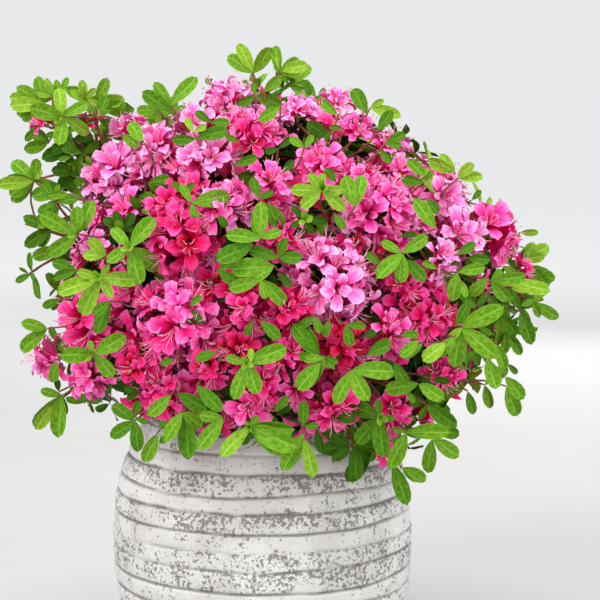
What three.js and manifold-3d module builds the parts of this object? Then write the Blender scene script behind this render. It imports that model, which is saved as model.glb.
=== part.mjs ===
// Azalea shrub in full bloom, standing in a round cement pot laid up in rough rings.
// Millimetres, +Z up, front towards -Y. The origin is the middle of the pot's flat underside.

import * as THREE from 'three';
import { mergeVertices } from 'three/addons/utils/BufferGeometryUtils.js';
import Module from 'manifold-3d';

const wasm = await Module();
wasm.setup();

// Driving dimensions

const jointGap = 0.3;           // clear gap between pieces that touch
const cellGap = 0.4;            // half the gap kept between one mass of foliage and the next
const snap = 0.004;             // corners of a fused mass sit on a grid this fine

const potHeight = 231;
const potWidestRadius = 140;
const potWidestHeight = 110;
const potRimRadius = 108;
const potFootRadius = 100;
const potRoundness = 2.6;       // power of the curve from the widest ring to rim and foot
const potWall = 15;
const potFloor = 18;
const potLip = 3;               // rounding of the rim's edges
const potSides = 24;
const potGrooveDepth = 3.2;
const potGrooves = [14, 30, 46, 62, 78, 95, 113, 130, 145, 164, 178, 196, 213];
const bandShoulder = 0.24;      // share of a ring's height that its rounded edge takes up

const potClear = 2;             // least distance between the pot and any leaf

const soilMiddle = 219;
const soilEdge = 212;
const soilFlatRadius = 45;

const trunkHeight = 49;
const trunkFlareRadius = 25;
const trunkRadius = 15;
const trunkLean = new THREE.Vector2(3, -2);
const trunkSides = 10;

const crownCentre = new THREE.Vector3(14, 0, 335);
const crownRadii = new THREE.Vector3(214, 205, 200);
const crownLowest = -30;        // degrees below the crown's centre where its shoots stop
const dentAzimuth = 86;         // the crown falls short of its reach round this way
const dentElevation = 50;
const dentShare = 0.13;         // share of the reach lost in the middle of the dent
const dentFade = 30;            // degrees over which it fades out

const boughTipShare = 0.5;      // how far out a bough reaches, as a share of its mass's reach
const boughTipRadius = 2.8;
const leadBoughRadius = 5.6;
const sideBoughRadius = 4.2;
const boughSides = 5;
const boughSteps = 3;
const uprightFrom = 60;         // degrees above which a lead bough leaves the trunk's very top
const forkStep = 5;             // the lead boughs leave the trunk at three levels this far apart
const leadRise = 0.43;          // how steeply they leave it, from 0, level, to 1, upright
const boughBend = 0.38;         // share of its length over which a bough keeps its first heading
const forkFollow = 0.35;        // how much a side bough first follows its parent
const boughClearance = 1.2;
const crowdingCost = 1000;      // millimetres of detour worth one millimetre of clearance
const boughRoom = 0.4;          // what a neighbour leaves clear round a bough
const boughForks = [0.3, 0.4, 0.5, 0.6, 0.7, 0.8];  // shares of a lead bough where others may fork
const routeSamples = 20;
const forkSamples = 7;          // of those along a new bough, the ones still beside its parent

const twigSides = 3;
const twigRadius = 1.9;
const twigTipRadius = 1.4;
const budRadius = 3.8;
const leafLength = 46;
const leafWidth = 21;
const leafThickness = 1.4;
const leafWidest = 0.58;        // share of the leaf's length, from its root, where it is widest
const smallestLeaf = 0.86;      // sizes of leaves, as shares of the length and width above
const largestLeaf = 1.1;
const leafSpread = 56;          // degrees between a shoot and the leaves round its tip
const collarSpread = 78;        // the same for the leaves under a truss
const whorlJitter = 0.24;       // radians by which those angles vary
const leavesInWhorl = 4;
const leavesInCollar = 3;

const flowerWidth = 0.5;        // radius of a flower, as a share of its truss's radius
const flowerThroat = 0.3;       // depth of its funnel, the same
const flowerLobes = 5;
const flowersInTruss = 6;
const trussTilt = 62;           // degrees between the truss's axis and its outer flowers
const coreLevel = 0.71;         // how far out the middle of a mass's core is, as a share of reach
const coreWidth = 104;          // half-width of a core before its neighbours' walls cut it
const coreDepth = 42;           // half its thickness, towards the crown's centre
const coreFloor = 238;          // cores are cut flat here, clear of the pot's rim
const trussCover = 0.8;         // share of a truss's radius within which no other shoot ends
const triedSizes = [1, 0.84, 0.7];  // a flower or leaf that leaves its space is tried smaller

const shootCount = 70;          // shoots dealt evenly over the whole sphere of the crown
const shownAbove = 2;           // above the crown's middle only one shoot in so many shows
const shootRoom = 24;           // least distance between the tips of two shoots
const sprigShoots = 3;          // shoots round the lead of a mass that has no truss
const sprigAngle = 11;          // degrees they stand off its axis
const tipInset = 0.55;          // leaf lengths from a shoot's tip to the crown's surface
const reachFade = 28;           // degrees from a mass's axis over which its own reach fades
const goldenAngle = Math.PI * (3 - Math.sqrt(5));

// Each mass of foliage: azimuth and elevation in degrees seen from the crown's centre, with
// azimuth 0 at the front and 90 at the right, reach as a share of the crown's own radius
// there, radius of its leading blossom truss (0 where only leaves lead), and tone. A mass whose
// shoots hang lower than the crown's lowest has a limit of its own.

const masses = [
  { name: 'front', azimuth: 13, elevation: 10, reach: 1.03, truss: 43, tone: 'light' },
  { name: 'front_right', azimuth: 29, elevation: 26, reach: 1.0, truss: 45, tone: 'mid' },
  { name: 'front_left', azimuth: -22, elevation: 21, reach: 1.0, truss: 35, tone: 'deep' },
  { name: 'front_left_low', azimuth: -22, elevation: -1, reach: 1.02, truss: 44, tone: 'mid' },
  { name: 'front_high', azimuth: -9, elevation: 38, reach: 1.0, truss: 36, tone: 'mid', lead: true },
  { name: 'front_low', azimuth: 4, elevation: -15, reach: 1.0, truss: 32, tone: 'deep' },
  { name: 'low_right', azimuth: 29, elevation: -18, reach: 1.0, truss: 32, tone: 'deep' },
  { name: 'low_left', azimuth: -33, elevation: -20, reach: 1.0, truss: 28, tone: 'mid' },
  { name: 'left', azimuth: -51, elevation: -1, reach: 1.0, truss: 35, tone: 'mid' },
  { name: 'left_high', azimuth: -57, elevation: 35, reach: 1.02, truss: 37, tone: 'light', lead: true },
  { name: 'left_side', azimuth: -87, elevation: 18, reach: 1.32, truss: 0, tone: 'green' },
  { name: 'left_side_low', azimuth: -80, elevation: -20, reach: 1.14, truss: 0, tone: 'green' },
  { name: 'sprig_left', azimuth: -86, elevation: 39, reach: 1.48, truss: 0, tone: 'green' },
  { name: 'top_left', azimuth: -26, elevation: 64, reach: 1.02, truss: 36, tone: 'light' },
  { name: 'top_right', azimuth: 34, elevation: 55, reach: 1.02, truss: 36, tone: 'mid' },
  { name: 'sprig_top', azimuth: 180, elevation: 78, reach: 1.19, truss: 0, tone: 'green', lead: true },
  { name: 'right_high', azimuth: 59, elevation: 21, reach: 1.02, truss: 40, tone: 'light', lead: true },
  { name: 'right', azimuth: 62, elevation: -8, reach: 1.16, truss: 0, tone: 'green' },
  { name: 'sprig_right', azimuth: 87, elevation: 5, reach: 1.24, truss: 0, tone: 'green' },
  { name: 'hanging_right', azimuth: 46, elevation: -33, reach: 1.06, truss: 0, tone: 'green', lowest: -44 },
  { name: 'back_right_low', azimuth: 122, elevation: -12, reach: 1.02, truss: 42, tone: 'mid' },
  { name: 'back_low_right', azimuth: 162, elevation: -12, reach: 1.02, truss: 40, tone: 'light' },
  { name: 'back_low_left', azimuth: 202, elevation: -12, reach: 1.02, truss: 42, tone: 'deep' },
  { name: 'back_left_low', azimuth: 240, elevation: -12, reach: 1.02, truss: 40, tone: 'mid' },
  { name: 'back_right', azimuth: 108, elevation: 32, reach: 1.02, truss: 43, tone: 'light', lead: true },
  { name: 'back_high_right', azimuth: 155, elevation: 32, reach: 1.02, truss: 42, tone: 'deep', lead: true },
  { name: 'back_high_left', azimuth: 203, elevation: 32, reach: 1.02, truss: 44, tone: 'mid', lead: true },
  { name: 'back_left', azimuth: 250, elevation: 30, reach: 1.02, truss: 40, tone: 'light', lead: true },
];

const colours = {
  pot: { color: 0xdedbd6, roughness: 0.85, metalness: 0 },
  soil: { color: 0x2e221a, roughness: 1, metalness: 0 },
  bark: { color: 0x6a4c36, roughness: 0.9, metalness: 0 },
  green: { color: 0x6aa12a, roughness: 0.5, metalness: 0 },
  light: { color: 0xf268ae, roughness: 0.55, metalness: 0 },
  mid: { color: 0xe63f8c, roughness: 0.55, metalness: 0 },
  deep: { color: 0xd01a62, roughness: 0.55, metalness: 0 },
};

const up = new THREE.Vector3(0, 0, 1);
const ahead = new THREE.Vector3(0.3, -1, 0.2).normalize();
const radians = THREE.MathUtils.degToRad;

// Seeded numbers from 0 to 1, the same on every run

function seeded(seed) {
  let state = (seed * 7919 + 12345) % 2147483647;
  return () => {
    state = (state * 16807) % 2147483647;
    return state / 2147483647;
  };
}

// Directions and reach of the crown

function direction(azimuth, elevation) {
  const a = radians(azimuth);
  const e = radians(elevation);
  return new THREE.Vector3(Math.sin(a) * Math.cos(e), -Math.cos(a) * Math.cos(e), Math.sin(e));
}

const dentWay = direction(dentAzimuth, dentElevation);

function crownRadius(way) {
  return 1 / new THREE.Vector3().copy(way).divide(crownRadii).length();
}

function fromCentre(way, distance) {
  return crownCentre.clone().addScaledVector(way, distance);
}

// Solids: closed meshes whose shared corners are one vertex each

function toSolid(geometry) {
  const bare = geometry.index ? geometry.clone() : geometry;
  for (const extra of ['normal', 'uv']) bare.deleteAttribute(extra);
  const merged = mergeVertices(bare, 1e-4);
  const corners = new Float32Array(merged.attributes.position.array);
  const index = merged.index.array;
  const kept = [];
  for (let i = 0; i < index.length; i += 3) {
    const [a, b, c] = [index[i], index[i + 1], index[i + 2]];
    if (a !== b && b !== c && c !== a) kept.push(a, b, c);
  }
  const mesh = new wasm.Mesh({ numProp: 3, vertProperties: corners, triVerts: new Uint32Array(kept) });
  return new wasm.Manifold(mesh);
}

function toGeometry(solid) {
  const mesh = solid.getMesh();
  const geometry = new THREE.BufferGeometry();
  geometry.setAttribute('position', new THREE.BufferAttribute(mesh.vertProperties, 3));
  geometry.setIndex(new THREE.BufferAttribute(mesh.triVerts, 1));
  geometry.computeVertexNormals();
  return geometry;
}

function overlaps(one, other) {
  return one.intersect(other).volume() > 0;
}

function joined(solids) {
  return solids.reduce((sum, solid) => sum.add(solid));
}

// Of a fused mass, the one outer body: sealed hollows and loose scraps fall away, and corners
// closer than the snap distance become one

function largest(solid) {
  return solid.decompose().reduce((best, body) => (body.volume() > best.volume() ? body : best));
}

function wholeBody(solid) {
  const geometry = toGeometry(largest(solid));
  const position = geometry.attributes.position;
  for (let i = 0; i < position.array.length; i += 1) {
    position.array[i] = Math.round(position.array[i] / snap) * snap;
  }
  return largest(toSolid(geometry));
}

function placed(geometry, origin, along, spin = 0) {
  const turn = new THREE.Quaternion().setFromUnitVectors(up, along);
  const roll = new THREE.Quaternion().setFromAxisAngle(up, spin);
  geometry.applyQuaternion(turn.multiply(roll));
  geometry.translate(origin.x, origin.y, origin.z);
  return geometry;
}

function lathe(points, sides) {
  const geometry = new THREE.LatheGeometry(points, sides);
  geometry.rotateX(Math.PI / 2);
  return geometry;
}

// Pot: a ringed barrel with a thick wall, open at the top

function potRadius(height) {
  const above = height > potWidestHeight;
  const span = above ? potHeight - potWidestHeight : potWidestHeight;
  const endRadius = above ? potRimRadius : potFootRadius;
  const share = Math.abs(height - potWidestHeight) / span;
  return potWidestRadius - (potWidestRadius - endRadius) * share ** potRoundness;
}

function potOutline() {
  const levels = [0, ...potGrooves, potHeight];
  const points = [];
  for (let ring = 0; ring + 1 < levels.length; ring += 1) {
    const [low, high] = [levels[ring], levels[ring + 1]];
    const shoulder = (high - low) * bandShoulder;
    const inset = ring === 0 ? 0 : potGrooveDepth;
    points.push(new THREE.Vector2(potRadius(low) - inset, low));
    points.push(new THREE.Vector2(potRadius(low + shoulder), low + shoulder));
    points.push(new THREE.Vector2(potRadius(high - shoulder), high - shoulder));
  }
  return points;
}

function potHollow(clearance) {
  const [low, high] = [potWidestHeight - 3 * potWall, potWidestHeight + 3 * potWall];
  const levels = [potFloor, potFloor + potWall, low, high, soilEdge];
  const points = levels.map((height) => new THREE.Vector2(potRadius(height) - potWall - clearance, height));
  points[0].x -= potWall;
  points[0].y += clearance;
  return points;
}

function makePot() {
  const lip = [
    new THREE.Vector2(potRimRadius - potLip, potHeight),
    new THREE.Vector2(potRimRadius - potWall + potLip, potHeight),
    new THREE.Vector2(potRimRadius - potWall, potHeight - potLip),
  ];
  const inside = potHollow(0).reverse();
  const axisLow = new THREE.Vector2(0, 0);
  const axisFloor = new THREE.Vector2(0, potFloor);
  return toSolid(lathe([axisLow, ...potOutline(), ...lip, ...inside, axisFloor], potSides));
}

function makeSoil() {
  const side = potHollow(jointGap);
  const profile = [
    new THREE.Vector2(0, side[0].y),
    ...side,
    new THREE.Vector2(soilFlatRadius, soilMiddle),
    new THREE.Vector2(0, soilMiddle),
  ];
  return toSolid(lathe(profile, potSides));
}

// Trunk: a short leaning stem from the soil to its fork

function trunkSolid(swell) {
  const [wide, stem] = [trunkFlareRadius + swell, trunkRadius + swell];
  const profile = [
    new THREE.Vector2(0, 0),
    new THREE.Vector2(wide, 0),
    new THREE.Vector2(stem + 3.5, 8),
    new THREE.Vector2(stem + 0.5, 17),
    new THREE.Vector2(stem, trunkHeight - 6 + swell),
    new THREE.Vector2(stem - 6, trunkHeight + swell),
    new THREE.Vector2(0, trunkHeight + swell),
  ];
  const geometry = lathe(profile, trunkSides);
  const lean = new THREE.Matrix4().set(
    1, 0, trunkLean.x / trunkHeight, 0,
    0, 1, trunkLean.y / trunkHeight, 0,
    0, 0, 1, soilMiddle + jointGap,
    0, 0, 0, 1,
  );
  return toSolid(geometry.applyMatrix4(lean));
}

function trunkPoint(height) {
  const lean = trunkLean.clone().multiplyScalar(height / trunkHeight);
  return new THREE.Vector3(lean.x, lean.y, soilMiddle + height);
}

// Limbs: a tapering cylinder bent along a curve

function limb(curve, startRadius, endRadius, sides, steps) {
  const geometry = new THREE.CylinderGeometry(1, 1, 1, sides, steps);
  const frames = curve.computeFrenetFrames(steps, false);
  const centres = curve.getPoints(steps);
  const position = geometry.attributes.position;
  for (let i = 0; i < position.count; i += 1) {
    const corner = new THREE.Vector3().fromBufferAttribute(position, i);
    const share = corner.y + 0.5;
    const step = Math.round(share * steps);
    const radius = THREE.MathUtils.lerp(startRadius, endRadius, share);
    const point = centres[step].clone()
      .addScaledVector(frames.normals[step], corner.z * radius)
      .addScaledVector(frames.binormals[step], corner.x * radius);
    position.setXYZ(i, point.x, point.y, point.z);
  }
  return toSolid(geometry);
}

function boughRoute(start, leaving, mass) {
  const length = start.distanceTo(mass.tip);
  const bend = start.clone().addScaledVector(leaving, boughBend * length);
  const approach = mass.tip.clone().addScaledVector(mass.way, -boughBend * length);
  return new THREE.CubicBezierCurve3(start, bend, approach, mass.tip);
}

// Smallest clear distance between a new route and the limbs already there, with the parent
// left out where the new limb grows from it

function clearance(route, radius, limbs, parent) {
  let least = Infinity;
  for (const [i, point] of route.getPoints(routeSamples).entries()) {
    for (const other of limbs) {
      if (other === parent && i < forkSamples) continue;
      for (const place of other.samples) {
        least = Math.min(least, point.distanceTo(place) - radius - other.baseRadius);
      }
    }
  }
  return least;
}

function leadBough(mass, order) {
  if (mass.elevation > uprightFrom) return boughRoute(trunkPoint(trunkHeight - forkStep), up, mass);
  const start = trunkPoint(trunkHeight - forkStep * (1 + order % 3));
  const level = new THREE.Vector3(mass.way.x, mass.way.y, 0).normalize();
  return boughRoute(start, level.lerp(up, leadRise).normalize(), mass);
}

function sideBough(mass, leads, limbs) {
  let best = null;
  for (const parent of leads) {
    for (const share of boughForks) {
      const start = parent.route.getPoint(share);
      const towards = mass.tip.clone().sub(start).normalize();
      const leaving = parent.route.getTangent(share).multiplyScalar(forkFollow).add(towards).normalize();
      const route = boughRoute(start, leaving, mass);
      const room = clearance(route, sideBoughRadius, limbs, parent);
      const crowding = Math.max(0, boughClearance - room);
      const cost = route.getLength() + crowdingCost * crowding;
      if (!best || cost < best.cost) best = { route, parent, cost };
    }
  }
  return best;
}

function growBoughs() {
  const trunkRoom = trunkSolid(jointGap);
  const limbs = [];
  const add = (mass, route, baseRadius, parent) => {
    const bough = { mass, route, baseRadius, parent, samples: route.getPoints(routeSamples) };
    bough.solid = limb(route, baseRadius, boughTipRadius, boughSides, boughSteps);
    bough.room = limb(route, baseRadius + boughRoom, boughTipRadius + boughRoom, boughSides, boughSteps);
    limbs.push(bough);
    return bough;
  };
  const leads = masses.filter((mass) => mass.lead)
    .map((mass, order) => add(mass, leadBough(mass, order), leadBoughRadius, null));
  for (const mass of masses.filter((entry) => !entry.lead)) {
    const choice = sideBough(mass, leads, limbs);
    add(mass, choice.route, sideBoughRadius, choice.parent);
  }
  for (const [order, bough] of limbs.entries()) {
    const earlier = limbs.slice(0, order).filter((other) => overlaps(bough.solid, other.room));
    for (const cutter of [trunkRoom, ...earlier.map((other) => other.room)]) {
      if (overlaps(bough.solid, cutter)) bough.solid = wholeBody(bough.solid.subtract(cutter));
    }
  }
  return limbs;
}

// Foliage and blossom

function leafSolid(root, way, side, size) {
  const geometry = new THREE.OctahedronGeometry(1);
  const position = geometry.attributes.position;
  for (let i = 0; i < position.count; i += 1) {
    const [x, y, z] = [position.getX(i), position.getY(i), position.getZ(i)];
    const height = Math.abs(z) > 0.5 ? (z > 0 ? 1 : 0) : leafWidest;
    position.setXYZ(i, x * leafWidth * size / 2, y * leafThickness / 2, height * leafLength * size);
  }
  const face = new THREE.Vector3().crossVectors(way, side);
  geometry.applyMatrix4(new THREE.Matrix4().makeBasis(side, face, way).setPosition(root));
  return toSolid(geometry);
}

// A flower is a five-cornered funnel, one corner for each lobe, whose point is sunk in the
// truss's middle

function flowerSolid(centre, along, spin, reach) {
  const geometry = new THREE.ConeGeometry(flowerWidth * reach, 1, flowerLobes, 1);
  geometry.rotateX(-Math.PI / 2);
  const position = geometry.attributes.position;
  for (let i = 0; i < position.count; i += 1) {
    const onRim = Math.hypot(position.getX(i), position.getY(i)) > 1;
    const middle = position.getZ(i) > 0 ? reach * (1 - flowerThroat) : 0;
    position.setZ(i, onRim ? reach : middle);
  }
  return toSolid(placed(geometry, centre, along, spin));
}

function trussFlowers(mass, random) {
  const side = new THREE.Vector3().crossVectors(mass.way, up).normalize();
  const phase = random() * Math.PI;
  const flowers = [{ along: mass.way.clone(), spin: phase }];
  for (let i = 1; i < flowersInTruss; i += 1) {
    const round = phase + (2 * Math.PI * i) / (flowersInTruss - 1) + whorlJitter * (random() - 0.5);
    const tilt = radians(trussTilt) + whorlJitter * (random() - 0.5);
    const along = mass.way.clone().applyAxisAngle(side, tilt).applyAxisAngle(mass.way, round);
    flowers.push({ along, spin: random() * Math.PI });
  }
  return flowers;
}

function twig(start, end, startRadius, endRadius) {
  return limb(new THREE.LineCurve3(start, end), startRadius, endRadius, twigSides, 1);
}

// Leaves stand round a bud on the tip of their shoot, each out of one of its faces

function whorl(along, count, spread, random) {
  const side = new THREE.Vector3().crossVectors(along, ahead).normalize();
  const phase = random() * Math.PI;
  const leaves = [];
  for (let i = 0; i < count; i += 1) {
    const round = phase + (2 * Math.PI * (i + 0.5)) / count + whorlJitter * (random() - 0.5);
    const tilt = radians(spread) + whorlJitter * (random() - 0.5);
    const way = along.clone().applyAxisAngle(side, tilt).applyAxisAngle(along, round);
    const across = new THREE.Vector3().crossVectors(along, way).normalize();
    leaves.push({ way, across, size: THREE.MathUtils.lerp(smallestLeaf, largestLeaf, random()) });
  }
  return { leaves, side: side.applyAxisAngle(along, phase) };
}

function budSolid(tip, along, side) {
  const geometry = new THREE.OctahedronGeometry(budRadius);
  const third = new THREE.Vector3().crossVectors(along, side);
  geometry.applyMatrix4(new THREE.Matrix4().makeBasis(side, third, along).setPosition(tip));
  return toSolid(geometry);
}

function insideCell(solid, mass) {
  const mesh = solid.getMesh();
  for (let i = 0; i < mesh.vertProperties.length; i += 3) {
    const point = new THREE.Vector3().fromArray(mesh.vertProperties, i);
    if (point.distanceTo(crownCentre) > mass.reachLimit) return false;
    if (mass.walls.some((wall) => wall.distanceToPoint(point) > -cellGap)) return false;
  }
  return true;
}

// Core of a dense mass: a flattened ball cut off at the walls to its neighbours

function coreSolid(mass) {
  const geometry = new THREE.IcosahedronGeometry(1, 0);
  geometry.scale(coreWidth, coreWidth, coreDepth);
  const middle = fromCentre(mass.way, crownRadius(mass.way) * coreLevel);
  const ground = new THREE.Plane(new THREE.Vector3(0, 0, -1), coreFloor);
  let core = toSolid(placed(geometry, middle, mass.way));
  for (const wall of [...mass.walls, ground]) {
    const beyond = new THREE.BoxGeometry(4 * coreWidth, 4 * coreWidth, 4 * coreWidth);
    const foot = wall.projectPoint(middle, new THREE.Vector3());
    foot.addScaledVector(wall.normal, 2 * coreWidth - cellGap);
    const block = toSolid(placed(beyond, foot, wall.normal));
    if (overlaps(core, block)) core = core.subtract(block);
  }
  return core;
}

// Every way from the crown's middle belongs to the mass whose own way is nearest

function isNearest(mass, way) {
  return masses.every((other) => other === mass || other.way.dot(way) < mass.way.dot(way));
}

function shootTip(mass, way) {
  const fade = Math.max(0, 1 - mass.way.angleTo(way) / radians(reachFade));
  const dent = Math.max(0, 1 - dentWay.angleTo(way) / radians(dentFade));
  const reach = crownRadius(way) * (1 + (mass.reach - 1) * fade) * (1 - dentShare * dent);
  return fromCentre(way, reach - leafLength * tipInset);
}

// Ways of a mass's shoots: a ring round a leafy lead, then the evenly dealt ones that fall to it

function shootWays(mass) {
  const ways = [];
  const lowest = Math.sin(radians(mass.lowest ?? crownLowest));
  const side = new THREE.Vector3().crossVectors(mass.way, ahead).normalize();
  for (let i = 0; i < (mass.truss ? 0 : sprigShoots); i += 1) {
    const round = mass.seed + (2 * Math.PI * i) / sprigShoots;
    ways.push(mass.way.clone().applyAxisAngle(side, radians(sprigAngle)).applyAxisAngle(mass.way, round));
  }
  for (let i = 0; i < shootCount; i += 1) {
    const height = 1 - (2 * i + 1) / shootCount;
    const level = Math.sqrt(1 - height * height);
    const turn = i * goldenAngle;
    const way = new THREE.Vector3(level * Math.cos(turn), level * Math.sin(turn), height);
    const shows = height < 0 || i % shownAbove === 0;
    if (shows && height > lowest && isNearest(mass, way)) ways.push(way);
  }
  return ways;
}

function shootsOf(mass) {
  const shoots = [];
  for (const way of shootWays(mass)) {
    const tip = shootTip(mass, way);
    const covered = mass.truss && tip.distanceTo(mass.hub) < mass.truss * trussCover;
    const crowded = shoots.some((shoot) => shoot.tip.distanceTo(tip) < shootRoom);
    if (!covered && !crowded) shoots.push({ tip, way });
  }
  return shoots;
}

function growMass(mass, keepOut) {
  const random = seeded(mass.seed);
  const parts = [];
  const stemStart = mass.tip.clone().addScaledVector(mass.way, jointGap);
  parts.push(twig(stemStart, mass.hub, boughTipRadius, twigRadius));
  const tryPiece = (makeSolid) => {
    for (const size of triedSizes) {
      const solid = makeSolid(size);
      if (!insideCell(solid, mass) || overlaps(solid, keepOut)) continue;
      parts.push(solid);
      return true;
    }
    return false;
  };
  const addWhorl = (tip, along, count, spread) => {
    const { leaves, side } = whorl(along, count, spread, random);
    if (spread === leafSpread) tryPiece(() => budSolid(tip, along, side));
    for (const leaf of leaves) {
      tryPiece((size) => leafSolid(tip, leaf.way, leaf.across, leaf.size * size));
    }
  };
  parts.push(coreSolid(mass));
  if (mass.truss) {
    for (const flower of trussFlowers(mass, random)) {
      tryPiece((size) => flowerSolid(mass.hub, flower.along, flower.spin, mass.truss * size));
    }
    addWhorl(mass.hub, mass.way, leavesInCollar, collarSpread);
  } else {
    addWhorl(mass.hub, mass.way, leavesInWhorl, leafSpread);
  }
  const stemLength = mass.tip.distanceTo(mass.hub);
  for (const shoot of shootsOf(mass)) {
    const outward = shoot.tip.clone().sub(crownCentre).dot(mass.way);
    const aside = shoot.tip.distanceTo(fromCentre(mass.way, outward));
    const along = outward - aside - mass.tip.distanceTo(crownCentre);
    const leave = THREE.MathUtils.clamp(along, 3 * boughTipRadius, stemLength - 2 * boughTipRadius);
    const start = mass.tip.clone().addScaledVector(mass.way, leave);
    if (!tryPiece(() => twig(start, shoot.tip, twigRadius, twigTipRadius))) continue;
    const heading = shoot.tip.clone().sub(start).normalize().add(shoot.way).normalize();
    addWhorl(shoot.tip, heading, leavesInWhorl, leafSpread);
  }
  return wholeBody(joined(parts));
}

// Where each mass has its hub, and the walls between it and its neighbours

function layOutMasses() {
  for (const [order, mass] of masses.entries()) {
    mass.seed = order + 1;
    mass.way = direction(mass.azimuth, mass.elevation);
    mass.reachLimit = crownRadius(mass.way) * mass.reach;
    mass.tip = fromCentre(mass.way, crownRadius(mass.way) * boughTipShare);
    mass.hub = fromCentre(mass.way, mass.reachLimit - (mass.truss || leafLength * 0.8));
  }
  for (const mass of masses) {
    mass.walls = masses.filter((other) => other !== mass).map((other) => {
      const normal = other.way.clone().sub(mass.way).normalize();
      return new THREE.Plane().setFromNormalAndCoplanarPoint(normal, crownCentre);
    });
  }
}

// The whole plant in its pot

const shrub = new THREE.Group();
shrub.name = 'azalea_in_pot';

function addPiece(name, solid, colour) {
  const mesh = new THREE.Mesh(toGeometry(solid), new THREE.MeshStandardMaterial(colours[colour]));
  mesh.name = name;
  shrub.add(mesh);
}

layOutMasses();
addPiece('pot', makePot(), 'pot');
addPiece('soil', makeSoil(), 'soil');
addPiece('trunk', trunkSolid(0), 'bark');

const boughs = growBoughs();
for (const bough of boughs) addPiece(`bough_${bough.mass.name}`, bough.solid, 'bark');

// Space that no foliage enters: the pot and the air just round it, the trunk and the boughs

const potRoom = toSolid(lathe([
  new THREE.Vector2(0, 0),
  ...potOutline().map((point) => new THREE.Vector2(point.x + potClear, point.y)),
  new THREE.Vector2(potRimRadius + potClear, potHeight + potClear),
  new THREE.Vector2(0, potHeight + potClear),
], potSides));
const keepOut = joined([potRoom, trunkSolid(jointGap), ...boughs.map((bough) => bough.room)]);
for (const mass of masses) addPiece(`mass_${mass.name}`, growMass(mass, keepOut), mass.tone);

export default shrub;
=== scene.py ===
# Azalea shrub in full bloom, standing in a round cement pot laid up in rough rings.
# Z up, front towards -Y. Lengths in the settings are millimetres, and meshes are metres.

import math
import random

import bmesh
import bpy
import numpy as np
from mathutils import Matrix, Vector, noise


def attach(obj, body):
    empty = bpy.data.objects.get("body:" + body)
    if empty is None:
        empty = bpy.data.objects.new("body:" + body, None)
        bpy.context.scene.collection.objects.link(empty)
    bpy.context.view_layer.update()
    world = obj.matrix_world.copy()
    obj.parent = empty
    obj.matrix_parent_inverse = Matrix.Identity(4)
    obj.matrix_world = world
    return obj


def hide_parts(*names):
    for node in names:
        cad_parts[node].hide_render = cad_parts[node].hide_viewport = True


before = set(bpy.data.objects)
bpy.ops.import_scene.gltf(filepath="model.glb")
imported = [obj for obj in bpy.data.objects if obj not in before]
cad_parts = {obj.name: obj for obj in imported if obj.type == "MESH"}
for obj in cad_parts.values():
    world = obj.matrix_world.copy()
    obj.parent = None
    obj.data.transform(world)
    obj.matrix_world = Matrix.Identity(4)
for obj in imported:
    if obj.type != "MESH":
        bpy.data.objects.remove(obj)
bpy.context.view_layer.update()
mm = 0.001
mergeDistance = 0.02 * mm
up = Vector((0, 0, 1))
goldenAngle = math.pi * (3 - math.sqrt(5))
print("frame loaded:", len(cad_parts), "nodes")


# Camera at the height and distance the picture was taken from

cameraSettings = {"place": (0.035, -1.700, 0.512), "pitch": 84.15, "lens": 110.2}

cameraData = bpy.data.cameras.new("camera")
cameraData.lens = cameraSettings["lens"]
camera = bpy.data.objects.new("camera", cameraData)
camera.location = cameraSettings["place"]
camera.rotation_euler = (math.radians(cameraSettings["pitch"]), 0, 0)
bpy.context.scene.collection.objects.link(camera)
bpy.context.scene.camera = camera
print("camera placed")


# Finishes: a material whose values are written as sums

def operator(operation):
    # the operator and its reflected form
    def forward(self, other):
        return self.maths(operation, self, other)

    def reflected(self, other):
        return self.maths(operation, other, self)

    return forward, reflected


class Value:
    def __init__(self, finish, socket):
        self.finish = finish
        self.socket = socket

    def maths(self, operation, *values):
        return self.finish.node("ShaderNodeMath", {"operation": operation}, dict(enumerate(values)))

    __add__, __radd__ = operator("ADD")
    __sub__, __rsub__ = operator("SUBTRACT")
    __mul__, __rmul__ = operator("MULTIPLY")
    __truediv__, __rtruediv__ = operator("DIVIDE")
    __pow__, __rpow__ = operator("POWER")

    def __abs__(self):
        return self.maths("ABSOLUTE", self)

    def wave(self):
        return self.maths("SINE", self)

    def between(self, low, high):
        # 0 below low, 1 above high, smooth on the way
        settings = {"interpolation_type": "SMOOTHSTEP"}
        return self.finish.node("ShaderNodeMapRange", settings, {0: self, 1: low, 2: high})


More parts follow.
